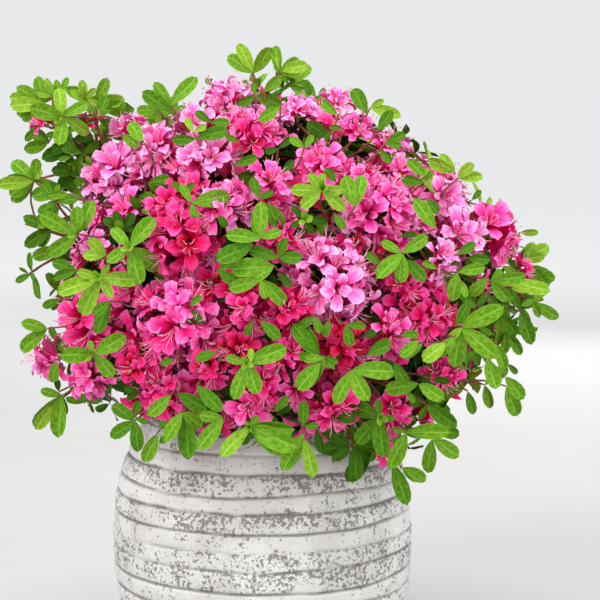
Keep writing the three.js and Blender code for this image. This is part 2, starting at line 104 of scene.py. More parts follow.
class Finish:
    def __init__(self, name, **fixed):
        self.material = bpy.data.materials.new(name)
        self.material.use_nodes = True
        self.tree = self.material.node_tree
        self.shader = self.tree.nodes["Principled BSDF"]
        for socket, value in fixed.items():
            self.set(socket.replace("_", " "), value)

    def set(self, socket, value):
        self.feed(self.shader.inputs[socket], value)

    def feed(self, socket, value):
        if isinstance(value, Value):
            self.tree.links.new(value.socket, socket)
        else:
            socket.default_value = value

    def node(self, kind, settings=None, inputs=None, output=0):
        made = self.tree.nodes.new(kind)
        for name, value in (settings or {}).items():
            setattr(made, name, value)
        for name, value in (inputs or {}).items():
            self.feed(made.inputs[name], value)
        return Value(self, made.outputs[output])

    def blend(self, share, first, second):
        # from the first colour to the second; a plain one is given by its screen values
        first, second = (colour(*end) if isinstance(end, tuple) else end for end in (first, second))
        return self.node("ShaderNodeMix", {"data_type": "RGBA"}, {0: share, 6: first, 7: second}, 2)

    def objectPlace(self):
        return self.node("ShaderNodeTexCoord", output="Object")

    def noise(self, place, scale, detail=3, roughness=0.5):
        inputs = {"Vector": place, "Scale": scale, "Detail": detail, "Roughness": roughness}
        return self.node("ShaderNodeTexNoise", inputs=inputs)

    def attribute(self, name):
        return self.node("ShaderNodeAttribute", {"attribute_name": name}, output="Fac")

    def layout(self):
        return self.node("ShaderNodeUVMap", {"uv_map": "OFBake"})

    def acrossAndAlong(self):
        # the leaf's or petal's own layout: across from -1 to 1, along from 0 to 1
        layout = self.layout()
        parts = self.node("ShaderNodeSeparateXYZ", inputs={0: layout})
        along = Value(self, parts.socket.node.outputs["Y"])
        return (parts - 0.5) / 0.48, (along - 0.02) / 0.96, layout

    def surface(self, base, layers, roughness, height, strength, distance):
        # layers: a share and the colour that it lays over what is there
        for share, shade in layers:
            base = self.blend(share, base, shade)
        inputs = {"Strength": strength, "Distance": distance, "Height": height}
        self.set("Base Color", base)
        self.set("Roughness", roughness)
        self.set("Normal", self.node("ShaderNodeBump", inputs=inputs))
        return self


def colour(*screen):
    # screen values from 0 to 255
    return (*(((part / 255 + 0.055) / 1.055) ** 2.4 if part > 10 else part / 3294 for part in screen), 1)


# Templates and joined meshes

def takeTemplate(bm, isShuffled=False):
    bm.verts.index_update()
    uvs = bm.loops.layers.uv.active
    faces = [list(face.loops) for face in bm.faces]
    if isShuffled:
        # each face from its lowest corner on, and the faces in the order of their corners
        for face in faces:
            first = face.index(min(face, key=lambda loop: loop.vert.index))
            face[:] = face[first:] + face[:first]
        faces.sort(key=lambda face: [loop.vert.index for loop in face])
    loops = [loop for face in faces for loop in face]
    template = {
        "points": np.array([vert.co for vert in bm.verts]),
        "corners": np.array([loop.vert.index for loop in loops]),
        "sides": np.array([len(face) for face in faces]),
        "uvs": np.array([loop[uvs].uv for loop in loops]),
    }
    bm.free()
    return template


def sheetTemplate(across, along, shape):
    # a flat grid bent into a leaf or petal: shape gives a place for across -1 to 1, along 0 to 1
    bm = bmesh.new()
    uvs = bm.loops.layers.uv.new("OFBake")
    bmesh.ops.create_grid(bm, x_segments=across, y_segments=along, size=1)
    flat = {vert: (vert.co.x, (vert.co.y + 1) / 2) for vert in bm.verts}
    for face in bm.faces:
        for loop in face.loops:
            u, v = flat[loop.vert]
            loop[uvs].uv = (0.5 + 0.48 * u, 0.02 + 0.96 * v)
    for vert, (u, v) in flat.items():
        vert.co = shape(u, v)
    return takeTemplate(bm)


def halfTurn(angle):
    # the same angle from minus half a turn to half a turn
    return (angle + math.pi) % (2 * math.pi) - math.pi


def roundUvs(bm, uvs):
    # once round from left to right, from the lowest point up; flat ends get a patch of their own
    heights = [vert.co.z for vert in bm.verts]
    low, high = min(heights), max(heights)
    for face in bm.faces:
        isEnd = max(v.co.z for v in face.verts) - min(v.co.z for v in face.verts) < 1e-5
        middle = face.calc_center_median()
        centre = math.atan2(middle.y, middle.x)
        for loop in face.loops:
            co = loop.vert.co
            turn = halfTurn(math.atan2(co.y, co.x) - centre)
            if math.hypot(co.x, co.y) < 1e-6:
                turn = 0
            u = 0.5 + (centre + turn) / (2 * math.pi)
            v = 0.03 + 0.94 * (co.z - low) / (high - low)
            if isEnd:
                u, v = 0.5 + 0.1 * co.x, 0.5 + 0.1 * co.y
            loop[uvs].uv = (0.12 + 0.76 * u, v)


def tubeTemplate(sides, rings):
    bm = bmesh.new()
    uvs = bm.loops.layers.uv.new("OFBake")
    bmesh.ops.create_cone(bm, segments=sides, radius1=1, radius2=1, depth=1, cap_ends=True)
    for ring in range(1, rings):
        geometry = bm.verts[:] + bm.edges[:] + bm.faces[:]
        plane = (0, 0, ring / rings - 0.5)
        bmesh.ops.bisect_plane(bm, geom=geometry, plane_co=plane, plane_no=(0, 0, 1))
    roundUvs(bm, uvs)
    return takeTemplate(bm)


def ballTemplate(turns, rings, shape):
    # a ball whose rings are set to the radius that shape gives for heights 0 to 1
    bm = bmesh.new()
    uvs = bm.loops.layers.uv.new("OFBake")
    bmesh.ops.create_uvsphere(bm, u_segments=turns, v_segments=rings, radius=1)
    for vert in bm.verts:
        height = (vert.co.z + 1) / 2
        level = math.hypot(vert.co.x, vert.co.y)
        wide = shape(height) / level if level > 1e-6 else 0
        vert.co = (vert.co.x * wide, vert.co.y * wide, height)
    roundUvs(bm, uvs)
    # the faces of a new ball come in an order that varies
    return takeTemplate(bm, isShuffled=True)


def placedPoints(template, places):
    # places: a 4 x 4 matrix for each copy, in millimetres
    matrices = np.array([[list(row) for row in place] for place in places])
    turned = np.einsum("nij,vj->nvi", matrices[:, :3, :3], template["points"])
    return turned + matrices[:, None, :3, 3]


def bentTubes(template, tubes):
    # each tube: start, bend, end, radius at the start, radius at the end
    start, bend, end = (np.array([[*tube[k]] for tube in tubes]) for k in range(3))
    radius0, radius1 = (np.array([tube[k] for tube in tubes]) for k in (3, 4))
    share = template["points"][:, 2] + 0.5
    s = share[None, :, None]
    start, bend, end = start[:, None, :], bend[:, None, :], end[:, None, :]
    line = (1 - s) ** 2 * start + 2 * s * (1 - s) * bend + s ** 2 * end
    heading = 2 * (1 - s) * (bend - start) + 2 * s * (end - bend)
    heading /= np.linalg.norm(heading, axis=2, keepdims=True)
    chord = (end - start)[:, 0, :]
    isSteep = np.abs(chord[:, 2:3]) > 0.9 * np.linalg.norm(chord, axis=1)[:, None]
    aside = np.cross(chord, np.where(isSteep, [[1.0, 0, 0]], [[0, 0, 1.0]]))
    first = np.cross(heading, aside[:, None, :])
    first /= np.linalg.norm(first, axis=2, keepdims=True)
    second = np.cross(heading, first)
    radius = (radius0[:, None] * (1 - share) + radius1[:, None] * share)[:, :, None]
    x, y = template["points"][None, :, 0:1], template["points"][None, :, 1:2]
    return line + radius * (x * first + y * second)


def joinedPiece(name, parts):
    # parts: templates with the corner points of all their copies
    points = np.concatenate([placed.reshape(-1, 3) for _, placed in parts]) * mm
    corners, sides, uvs, offset = [], [], [], 0
    for template, placed in parts:
        count, size = placed.shape[:2]
        shift = offset + size * np.arange(count)
        corners.append((template["corners"][None, :] + shift[:, None]).ravel())
        sides.append(np.tile(template["sides"], count))
        uvs.append(np.tile(template["uvs"], (count, 1)))
        offset += count * size
    corners, sides, uvs = np.concatenate(corners), np.concatenate(sides), np.concatenate(uvs)
    mesh = bpy.data.meshes.new(name)
    mesh.vertices.add(len(points))
    mesh.vertices.foreach_set("co", points.ravel())
    mesh.loops.add(len(corners))
    mesh.loops.foreach_set("vertex_index", corners.astype(np.int32))
    mesh.polygons.add(len(sides))
    mesh.polygons.foreach_set("loop_start", (np.cumsum(sides) - sides).astype(np.int32))
    layer = mesh.uv_layers.new(name="OFBake")
    layer.data.foreach_set("uv", uvs.ravel())
    mesh.update(calc_edges=True)
    return newObject(name, mesh)


def newObject(name, mesh):
    mesh.shade_smooth()
    made = bpy.data.objects.new(name, mesh)
    bpy.context.scene.collection.objects.link(made)
    return made


def meshFrom(bm, name):
    mesh = bpy.data.meshes.new(name)
    bm.to_mesh(mesh)
    bm.free()
    return mesh


def spunBody(points, turns):
    # the line of radii and heights turned once round the upright axis
    bm = bmesh.new()
    line = [bm.verts.new((radius * mm, 0, height * mm)) for radius, height in points]
    edges = [bm.edges.new(pair) for pair in zip(line, line[1:])]
    bmesh.ops.spin(bm, geom=line + edges, cent=(0, 0, 0), axis=(0, 0, 1), angle=2 * math.pi,
                   steps=turns, use_merge=True)
    bmesh.ops.remove_doubles(bm, verts=bm.verts[:], dist=mergeDistance)
    bmesh.ops.recalc_face_normals(bm, faces=bm.faces[:])
    return bm


def finished(piece, finish, nodes=()):
    piece.data.materials.append(finish.material)
    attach(piece, "root")
    if nodes:
        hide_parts(*nodes)
    triangles = sum(len(polygon.vertices) - 2 for polygon in piece.data.polygons)
    print("made", piece.name, triangles, "triangles")


# Growth: the crown's shape and masses, as in the solid model

crown = {
    "centre": Vector((14, 0, 335)),
    "radii": (214, 205, 200),
    "lowest": -30,        # degrees below its middle where its shoots stop
    "hangs": {"hanging_right": -44},      # masses with a limit of their own
    "dent": (86, 50, 0.13, 30),           # where it falls short: azimuth, elevation, share, fade
    "boughTip": 0.5,      # how far out a bough reaches, as a share
    "hubInset": 36.8,     # from the reach in to where the leaves of a green lead spring
    "tipInset": 25.3,     # from the reach in to a shoot's tip
    "fade": 28,           # degrees from a mass's axis over which its own reach fades
    "shoots": 70,
    "shownAbove": 2,
    "shootRoom": 24,
    "sprigShoots": 3,
    "sprigAngle": 11,
    "trussCover": 0.8,
    "boughTipRadius": 2.8,
}

# name, azimuth, elevation, reach, radius of the leading truss, tone
massTable = [
    ("front", 13, 10, 1.03, 43, "light"),
    ("front_right", 29, 26, 1.0, 45, "mid"),
    ("front_left", -22, 21, 1.0, 35, "deep"),
    ("front_left_low", -22, -1, 1.02, 44, "mid"),
    ("front_high", -9, 38, 1.0, 36, "mid"),
    ("front_low", 4, -15, 1.0, 32, "deep"),
    ("low_right", 29, -18, 1.0, 32, "deep"),
    ("low_left", -33, -20, 1.0, 28, "mid"),
    ("left", -51, -1, 1.0, 35, "mid"),
    ("left_high", -57, 35, 1.02, 37, "light"),
    ("left_side", -87, 18, 1.32, 0, "green"),
    ("left_side_low", -80, -20, 1.14, 0, "green"),
    ("sprig_left", -86, 39, 1.48, 0, "green"),
    ("top_left", -26, 64, 1.02, 36, "light"),
    ("top_right", 34, 55, 1.02, 36, "mid"),
    ("sprig_top", 180, 78, 1.19, 0, "green"),
    ("right_high", 59, 21, 1.02, 40, "light"),
    ("right", 62, -8, 1.16, 0, "green"),
    ("sprig_right", 87, 5, 1.24, 0, "green"),
    ("hanging_right", 46, -33, 1.06, 0, "green"),
    ("back_right_low", 122, -12, 1.02, 42, "mid"),
    ("back_low_right", 162, -12, 1.02, 40, "light"),
    ("back_low_left", 202, -12, 1.02, 42, "deep"),
    ("back_left_low", 240, -12, 1.02, 40, "mid"),
    ("back_right", 108, 32, 1.02, 43, "light"),
    ("back_high_right", 155, 32, 1.02, 42, "deep"),
    ("back_high_left", 203, 32, 1.02, 44, "mid"),
    ("back_left", 250, 30, 1.02, 40, "light"),
]


def direction(azimuth, elevation):
    a, e = math.radians(azimuth), math.radians(elevation)
    return Vector((math.sin(a) * math.cos(e), -math.cos(a) * math.cos(e), math.sin(e)))


def crownRadius(way):
    return 1 / Vector([part / radius for part, radius in zip(way, crown["radii"])]).length


def fromCentre(way, distance):
    return crown["centre"] + way * distance


def turned(way, axis, angle):
    return Matrix.Rotation(angle, 3, axis) @ way


def evenWays(count):
    # ways dealt evenly over the whole sphere
    for i in range(count):
        height = 1 - (2 * i + 1) / count
        level = math.sqrt(1 - height * height)
        yield Vector((level * math.cos(i * goldenAngle), level * math.sin(i * goldenAngle), height))


masses = []
for order, (name, azimuth, elevation, reach, truss, tone) in enumerate(massTable):
    way = direction(azimuth, elevation)
    reachLimit = crownRadius(way) * reach
    masses.append({
        "name": name, "seed": order + 1, "way": way, "reach": reach, "truss": truss, "tone": tone,
        "tip": fromCentre(way, crownRadius(way) * crown["boughTip"]),
        "hub": fromCentre(way, reachLimit - (truss or crown["hubInset"])),
    })


def nearestMass(way):
    return max(masses, key=lambda mass: mass["way"].dot(way))


def surfaceAt(way):
    azimuth, elevation, share, fade = crown["dent"]
    away = math.degrees(way.angle(direction(azimuth, elevation)))
    return crownRadius(way) * (1 - share * max(0, 1 - away / fade))


def reachOf(mass, way):
    fade = max(0, 1 - mass["way"].angle(way) / math.radians(crown["fade"]))
    return surfaceAt(way) * (1 + (mass["reach"] - 1) * fade)


# How low leaves hang, round from the back: azimuths and heights

skirtSettings = {
    "turns": [-180, -120, -85, -60, 22, 33, 44, 54, 69, 85, 115, 180],
    "heights": [205, 205, 246, 240, 227, 196, 184, 214, 230, 240, 215, 205],
}


def skirtAt(point):
    outward = point - crown["centre"]
    turn = math.degrees(math.atan2(outward.x, -outward.y))
    return np.interp(turn, skirtSettings["turns"], skirtSettings["heights"])


def shootWays(mass):
    ways = []
    side = mass["way"].cross(Vector((0.3, -1, 0.2)).normalized()).normalized()
    for i in range(0 if mass["truss"] else crown["sprigShoots"]):
        lean = turned(mass["way"], side, math.radians(crown["sprigAngle"]))
        ways.append(turned(lean, mass["way"], mass["seed"] + 2 * math.pi * i / crown["sprigShoots"]))
    lowest = math.sin(math.radians(crown["hangs"].get(mass["name"], crown["lowest"])))
    for i, way in enumerate(evenWays(crown["shoots"])):
        shows = way.z < 0 or i % crown["shownAbove"] == 0
        if shows and way.z > lowest and nearestMass(way) is mass:
            ways.append(way)
    return ways


# Limbs of each mass: the stem from its bough's tip, then its main shoots

twigSettings = {
    "stem": 1.9, "shoot": 1.7, "tip": 1.1, "sprig": 1.38, "fine": 1.15, "fineTip": 0.8, "pedicel": 0.75,
    "forks": (0.15, 0.4, 0.65, 0.9),      # shares of a limb where twigs may leave it
    "shortest": 6,
    "turnCost": 22,       # added length that a full turn back counts for
    "bend": 0.45, "follow": 0.22, "wander": 3, "rise": 0.55,
}

twigs = []          # woody tubes
youngTwigs = []     # green tubes
for mass in masses:
    stemStart = mass["tip"] + mass["way"] * 0.3
    middle = (stemStart + mass["hub"]) / 2
    twigs.append((stemStart, middle, mass["hub"], crown["boughTipRadius"], twigSettings["stem"]))
    mass["limbs"] = [(stemStart, mass["hub"])]
    stemLength = (mass["hub"] - mass["tip"]).length
    tips = []
    for way in shootWays(mass):
        tip = fromCentre(way, reachOf(mass, way) - crown["tipInset"])
        covered = mass["truss"] and (tip - mass["hub"]).length < mass["truss"] * crown["trussCover"]
        if covered or any((tip - other).length < crown["shootRoom"] for other in tips):
            continue
        tips.append(tip)
        outward = (tip - crown["centre"]).dot(mass["way"])
        aside = (tip - fromCentre(mass["way"], outward)).length
        along = outward - aside - (mass["tip"] - crown["centre"]).length
        along = min(max(along, 3 * crown["boughTipRadius"]), stemLength - 2 * crown["boughTipRadius"])
        start = mass["tip"] + mass["way"] * along
        bend = start.lerp(tip, 0.5) + mass["way"] * 0.12 * (tip - start).length
        twigs.append((start, bend, tip, twigSettings["shoot"], twigSettings["tip"]))
        mass["limbs"].append((start, tip))


def growTwig(mass, tip, draw, radius=twigSettings["fine"], tipRadius=twigSettings["fineTip"], rising=None):
    # a twig to the tip from where it leaves the mass's limbs most easily; gives its last heading
    # rising: the way in which it comes out from among the blossom
    best = None
    for start, end in mass["limbs"]:
        limb = end - start
        heading = limb.normalized()
        for share in twigSettings["forks"]:
            fork = start + limb * share
            away = tip - fork
            if away.length < twigSettings["shortest"]:
                continue
            cost = away.length + twigSettings["turnCost"] * (1 - heading.dot(away.normalized()))
            if best is None or cost < best[0]:
                best = (cost, fork, heading, away)
    cost, fork, heading, away = best
    bend = fork + away * twigSettings["bend"] + heading * (twigSettings["follow"] * away.length)
    bend += wander(draw, twigSettings["wander"])
    if rising:
        bend = tip - rising * away.length * twigSettings["rise"]
    twigs.append((fork, bend, tip, radius, tipRadius))
    return (tip - bend).normalized()


def wander(draw, size):
    return Vector([draw.uniform(-size, size) for _ in range(3)])


# Where the blossom trusses stand: azimuth, elevation and distance of the hub, radius, tone

# a truss's tone is partly its own shade of pink and partly painted light: paler high up, darker low down and
# where leaves shade it
frontBlooms = [
    (15, 11, 172, 37, "light"), (33, 30, 177, 33, "soft"), (-27, 23, 180, 30, "wine"),
    (-26, 1, 174, 37, "mid"), (-82, 37, 179, 35, "pale"), (-56, -2, 188, 28, "mid"),
    (65, 33, 189, 18, "pale"), (61, 21, 188, 21, "pale"), (83, 19, 203, 25, "mid"),
    (-73, 76, 187, 22, "pale"), (17, 69, 184, 15, "light"), (76, 73, 188, 13, "light"),
    (43, 57, 185, 16, "mid"), (18, 44, 183, 19, "soft"), (41, 0, 190, 18, "deep"),
    (-78, -13, 207, 19, "soft"), (-59, -16, 191, 18, "mid"), (-31, -17, 184, 22, "mid"),
    (-16, -10, 189, 15, "wine"), (-7, -21, 187, 16, "mid"), (-9, -5, 189, 15, "deep"),
    (-6, 5, 187, 17, "deep"), (4, -7, 188, 16, "deep"), (17, -5, 186, 19, "crimson"),
    (15, -21, 186, 18, "deep"), (34, -23, 187, 18, "deep"), (29, -2, 189, 17, "mid"),
    (48, -14, 194, 14, "mid"), (-59, 50, 182, 22, "pale"), (-81, 50, 204, 14, "light"),
    (-29, 48, 180, 22, "pale"), (-14, 58, 180, 21, "mid"), (-4, 37, 178, 24, "mid"),
    (-16, 31, 182, 21, "soft"), (-32, 31, 187, 17, "deep"), (33, 10, 195, 11, "wine"),
    (-60, 16, 194, 15, "light"), (46, 15, 193, 15, "light"), (0, 21, 188, 15, "deep"),
    (45, 39, 192, 13, "light"), (4, 4, 185, 19, "wine"), (28, 39, 189, 14, "soft"),
    (-37, -11, 194, 13, "wine"), (-3, -15, 188, 15, "deep"), (-54, 60, 188, 14, "light"),
    (-85, 38, 266, 9, "deep"), (-76, 44, 236, 8, "deep"), (85, 8, 223, 7, "deep"),
]
bloomSettings = {
    "backWays": 74, "backFrom": 0.12, "lowest": -0.5, "highest": 0.94, "backRadii": (23, 34), "room": 1.55,
    "tones": ("light", "mid", "mid", "deep"), "seed": 7,
}


def layOutBlooms():
    blooms = []

    def add(way, distance, radius, tone):
        hub = fromCentre(way, distance)
        blooms.append({"mass": nearestMass(way), "way": way, "hub": hub, "radius": radius, "tone": tone})

    for azimuth, elevation, distance, radius, tone in frontBlooms:
        add(direction(azimuth, elevation), distance, radius, tone)
    for mass in masses:
        way, truss = mass["way"], mass["truss"]
        if truss and way.y > 0:
            add(way, surfaceAt(way) * mass["reach"] - truss, truss, mass["tone"])
    draw = random.Random(bloomSettings["seed"])
    for way in evenWays(bloomSettings["backWays"]):
        radius = draw.uniform(*bloomSettings["backRadii"])
        tone = draw.choice(bloomSettings["tones"])
        middle = fromCentre(way, surfaceAt(way) - radius)
        isClear = all((middle - bloom["hub"]).length > bloomSettings["room"] * (radius + bloom["radius"]) / 2
                      for bloom in blooms)
        isBetween = bloomSettings["lowest"] < way.z < bloomSettings["highest"]
        isBack = way.y > bloomSettings["backFrom"] and nearestMass(way)["tone"] != "green"
        if isBack and isBetween and isClear:
            add(way, surfaceAt(way) - radius, radius, tone)
    return blooms


# Flowers: petals in two rings round a throat, with long stamens

petalSettings = {
    "outerCurve": [(0.05, 0), (0.2, 0.4), (0.46, 0.74), (0.8, 0.9), (1.02, 0.87), (1.1, 0.82)],
    "innerCurve": [(0.04, 0.02), (0.12, 0.42), (0.28, 0.8), (0.52, 1.04), (0.72, 1.1), (0.8, 1.08)],
    "outerWidth": [0.05, 0.1, 0.2, 0.28, 0.25, 0.09],
    "innerWidth": [0.05, 0.08, 0.17, 0.23, 0.2, 0.08],
    "pulls": [0, 0, 0, 0.02, 0.06, 0.04],     # how far the edges draw back towards the tip
    "across": 4,
    "cup": 0.12,
    "ruffle": 0.07,
}


def petalTemplate(curve, widths, seed):
    draw = random.Random(seed)
    phase, lift, twist = draw.uniform(0, 6), draw.uniform(-0.08, 0.1), draw.uniform(-0.25, 0.25)
    rows = len(widths) - 1

    def shape(u, v):
        row = round(v * rows)
        radial, height = curve[row]
        half = widths[row] * (1 + 0.1 * math.sin(2.3 * row + phase))
        edge = abs(u) ** 2
        ruffle = petalSettings["ruffle"] * v * math.sin(3.1 * u + 5.2 * v + phase)
        rise = petalSettings["cup"] * edge * (1 - 0.9 * v) + ruffle * (0.4 + edge) + lift * v * v
        pulled = radial - petalSettings["pulls"][row] * edge
        return Vector((-half * u, pulled, height + rise + twist * u * half * v))

    return sheetTemplate(petalSettings["across"], rows, shape)


def petalRing(ring, seeds):
    curve, widths = petalSettings[ring + "Curve"], petalSettings[ring + "Width"]
    return [petalTemplate(curve, widths, seed) for seed in seeds]


outerPetals = petalRing("outer", range(4))
petalTemplates = outerPetals + petalRing("inner", range(9, 12))

# the steps run from pale to dark; crimson is painted shade, the colour of flowers that lie in shadow
toneSteps = ["blush", "rose", "hot", "deep", "crimson"]
toneMix = {
    "pale": ["blush"],
    "light": ["blush", "blush", "blush", "rose"],
    "soft": ["blush", "rose", "rose"],
    "mid": ["rose", "rose", "rose", "hot"],
    "deep": ["hot", "hot", "deep"],
    "wine": ["deep", "deep", "hot"],
    "crimson": ["crimson", "deep", "deep"],
}
petalPlaces = {tone: {k: [] for k in range(len(petalTemplates))} for tone in toneSteps}
stamens = []
antherPlaces = []
calyxPlaces = []

flowerSettings = {
    "radius": 22.0, "sizes": (0.86, 1.1), "outer": 5, "inner": 6, "innerSize": 0.84,
    # how far petals stray: round the flower, outwards, about their own line, in length and in width
    "sway": 0.16, "tilt": 0.26, "roll": 0.24, "lengths": (0.9, 1.08), "widths": (0.9, 1.1),
    "stamens": 7, "stamenRadius": 0.4, "stamenTaper": 0.8, "stamenReach": (1.15, 1.6), "stamenTurn": 1.26,
    "stamenStart": 0.35, "stamenBend": 0.72, "throat": 1.2,
    "stamenTip": (0.3, 0.22), "stamenBow": (0.05, 0.3),      # outwards and down, at the tip and the bend
    "anther": (0.75, 0.75, 1.9), "calyx": 4.4, "calyxShape": Vector((0.7, 0.7, 1)), "calyxSink": 0.3,
}
trussSettings = {
    "flowers": 23, "full": 44,       # flowers in a truss of the full radius
    "fewest": 3, "backShare": 0.8, "layer": 5, "root": 0.35, "sink": 0.94, "seed": 11,
    "spread": (66, 98), "spreadFrom": 5,      # degrees, for few flowers and for more
    "radii": (8, 14, 20, 37), "sizes": (0.5, 0.68, 0.86, 0.95),
    "first": 0.35, "sway": 0.1, "lift": (-2, 3), "least": 1.5, "wander": 0.16, "bend": 0.3,
}


def axes(side, along, out):
    return Matrix((side, along, out)).transposed()


def axesUp(way):
    # axes with the third along the way
    across = way.orthogonal().normalized()
    return axes(across, way.cross(across), way)


def placeOf(turn, size, origin):
    return Matrix.Translation(origin) @ (turn @ Matrix.Diagonal(Vector(size))).to_4x4()


def stray(draw, key):
    return draw.uniform(-flowerSettings[key], flowerSettings[key])


def addPetalRing(base, along, side, spin, radius, tone, count, choices, draw):
    for k in range(count):
        radial = turned(side, along, spin + 2 * math.pi * k / count + stray(draw, "sway"))
        lean = stray(draw, "tilt")
        across = along.cross(radial)
        axis = turned(along, across, lean)
        across = turned(across, axis, stray(draw, "roll"))
        spread = axis.cross(across)
        # the petal's own axes: across it, outwards, and up the flower
        turn = axes(spread.cross(axis), spread, axis)
        grown = radius * draw.uniform(*flowerSettings["lengths"])
        place = placeOf(turn, (grown * draw.uniform(*flowerSettings["widths"]), grown, grown), base)
        petalPlaces[tone][draw.choice(choices)].append(place)


def addFlower(base, along, tone, draw, size=1.0):
    radius = flowerSettings["radius"] * size * draw.uniform(*flowerSettings["sizes"])
    outerTone = draw.choice(toneMix[tone])
    innerTone = toneSteps[min(toneSteps.index(outerTone) + draw.choice((0, 0, 1)), len(toneSteps) - 1)]
    side = along.orthogonal().normalized()
    spin = draw.uniform(0, 2 * math.pi) + math.pi / 5
    outer, inner = range(len(outerPetals)), range(len(outerPetals), len(petalTemplates))
    addPetalRing(base, along, side, spin, radius, outerTone, flowerSettings["outer"], outer, draw)
    spin += math.pi / 5
    small = radius * flowerSettings["innerSize"]
    addPetalRing(base, along, side, spin, small, innerTone, flowerSettings["inner"], inner, draw)
    droop = along * along.z - up
    (tipOut, tipDown), (bowOut, bowDown) = flowerSettings["stamenTip"], flowerSettings["stamenBow"]
    thick = flowerSettings["stamenRadius"]
    for k in range(flowerSettings["stamens"]):
        radial = turned(side, along, spin + flowerSettings["stamenTurn"] * k)
        reach = radius * draw.uniform(*flowerSettings["stamenReach"])
        start = base + along * radius * flowerSettings["stamenStart"] + radial * flowerSettings["throat"]
        bend = base + along * reach * flowerSettings["stamenBend"]
        bend += (radial * bowOut + droop * bowDown) * radius
        end = base + along * reach + (radial * tipOut + droop * tipDown) * radius
        stamens.append((start, bend, end, thick, thick * flowerSettings["stamenTaper"]))
        antherPlaces.append(placeOf(axesUp((end - bend).normalized()), flowerSettings["anther"], end))
    long = flowerSettings["calyx"] * size
    seat = base - along * long * flowerSettings["calyxSink"]
    calyxPlaces.append(placeOf(axesUp(along), flowerSettings["calyxShape"] * long, seat))


def addTruss(bloom, draw):
    way, radius, hub = bloom["way"], bloom["radius"], bloom["hub"]
    share = (radius / trussSettings["full"]) ** 2 * (1 if way.y < 0 else trussSettings["backShare"])
    count = max(trussSettings["fewest"], round(trussSettings["flowers"] * share))
    side = way.orthogonal().normalized()
    phase = draw.uniform(0, 2 * math.pi)
    widest = math.cos(math.radians(trussSettings["spread"][count > trussSettings["spreadFrom"]]))
    root = hub - way * radius * trussSettings["root"]
    growTwig(bloom["mass"], root, draw, twigSettings["shoot"], twigSettings["tip"])
    size = np.interp(radius, trussSettings["radii"], trussSettings["sizes"])
    inset = flowerSettings["radius"] * size * trussSettings["sink"]
    for k in range(count):
        cosine = 1 - (1 - widest) * (k + trussSettings["first"]) / count
        lean = math.acos(cosine) + draw.uniform(-trussSettings["sway"], trussSettings["sway"])
        along = turned(turned(way, side, lean), way, phase + k * goldenAngle).normalized()
        distance = radius - inset - trussSettings["layer"] * (k % 2) + draw.uniform(*trussSettings["lift"])
        base = hub + along * max(trussSettings["least"], distance)
        along = (along + wander(draw, trussSettings["wander"])).normalized()
        addFlower(base, along, bloom["tone"], draw, size)
        bend = hub.lerp(base, trussSettings["bend"])
        youngTwigs.append((root, bend, base, twigSettings["pedicel"], twigSettings["pedicel"]))


# Leaves in whorls round the tips of shoots

leafSettings = {
    "length": 33, "sizes": (0.74, 1.14), "width": 0.47, "across": 4,
    "widths": [0.08, 0.44, 0.82, 1.0, 0.93, 0.6, 0.1],
    "heights": [0, 0.13, 0.32, 0.56, 0.78, 0.93, 1.0],
    # fold, curl and wave of each shape, and where its wave starts
    "shapes": [(0.34, 0.10, 0.12, 0), (0.16, 0.2, 0.2, 2), (0.5, 0.02, 0.08, 4), (0.26, -0.08, 0.15, 5)],
    "longFrom": 27, "longShare": 0.35,    # longer leaves are narrower for their length
    "widthRange": (0.88, 1.12), "roll": 0.3,
}


def leafTemplate(fold, curl, wave, seed):
    rows = len(leafSettings["widths"]) - 1

    def shape(u, v):
        row = round(v * rows)
        half = leafSettings["width"] / 2 * leafSettings["widths"][row]
        height = leafSettings["heights"][row]
        edge = abs(u)
        y = height - (0.03 if row == rows else 0.012) * edge * edge
        z = fold * half * edge ** 1.3 - curl * height ** 2 + wave * math.sin(6 * height + seed) * edge * half
        return Vector((u * half, y, z))

    return sheetTemplate(leafSettings["across"], rows, shape)


leafTemplates = [leafTemplate(*shape) for shape in leafSettings["shapes"]]
# fresh is the young leaves' own paler green; the darker tones are partly the leaves' own differences and
# partly painted shade, for leaves in shade and deep in the crown
leafTones = ["fresh", "bright", "full", "dark", "shade"]
leafPlaces = {tone: {k: [] for k in range(len(leafTemplates))} for tone in leafTones}
budPlaces = []

potSettings = {
    "height": 231, "widestRadius": 140, "widestHeight": 110, "rimRadius": 108, "footRadius": 100,
    "roundness": 2.6, "wall": 15, "floor": 18, "lip": 4.5, "lipSteps": 6, "room": 2.5,
    "inside": [218, 208, 196, 160, 110, 60, 24],      # heights down the inner wall
    "grooves": [14, 30, 46, 62, 78, 95, 113, 130, 145, 164, 178, 196, 213],
    "strengths": [0.6, 0.8, 0.7, 0.8, 0.7, 0.95, 0.75, 0.45, 0.85, 0.85, 0.65, 1.0, 0.6],
    "flecked": [0.3, 0.1, 0.6, 0.1, 0.6, 0.15, 0.75, 0.7, 0.2, 0.85, 0.12, 1.0, 0.15, 0.6],
    "grooveDepth": 2.2, "above": 1.2, "below": 1.5, "turns": 340, "bandStep": 0.8,
    "tuck": 2.2, "tuckHeight": 8, "lumps": ((0.3, 7), (0.5, 26)), "edge": 3,
    "patches": 13, "pits": 2.6, "pitsFrom": 0.3, "pitDepth": 1.4, "rimFade": 6, "faded": 0.3,
    # ring and azimuth of each seam where a rope of cement meets its own end
    "seams": [(12, -54), (11, -53), (8, -55), (5, 8), (11, 10), (4, -20),
              (9, 70), (2, 40), (10, 160), (6, 215), (3, 120)],
    "seamDepth": 0.8, "seamWidth": 1.6, "seamStep": 0.5, "seamFade": 60,
}


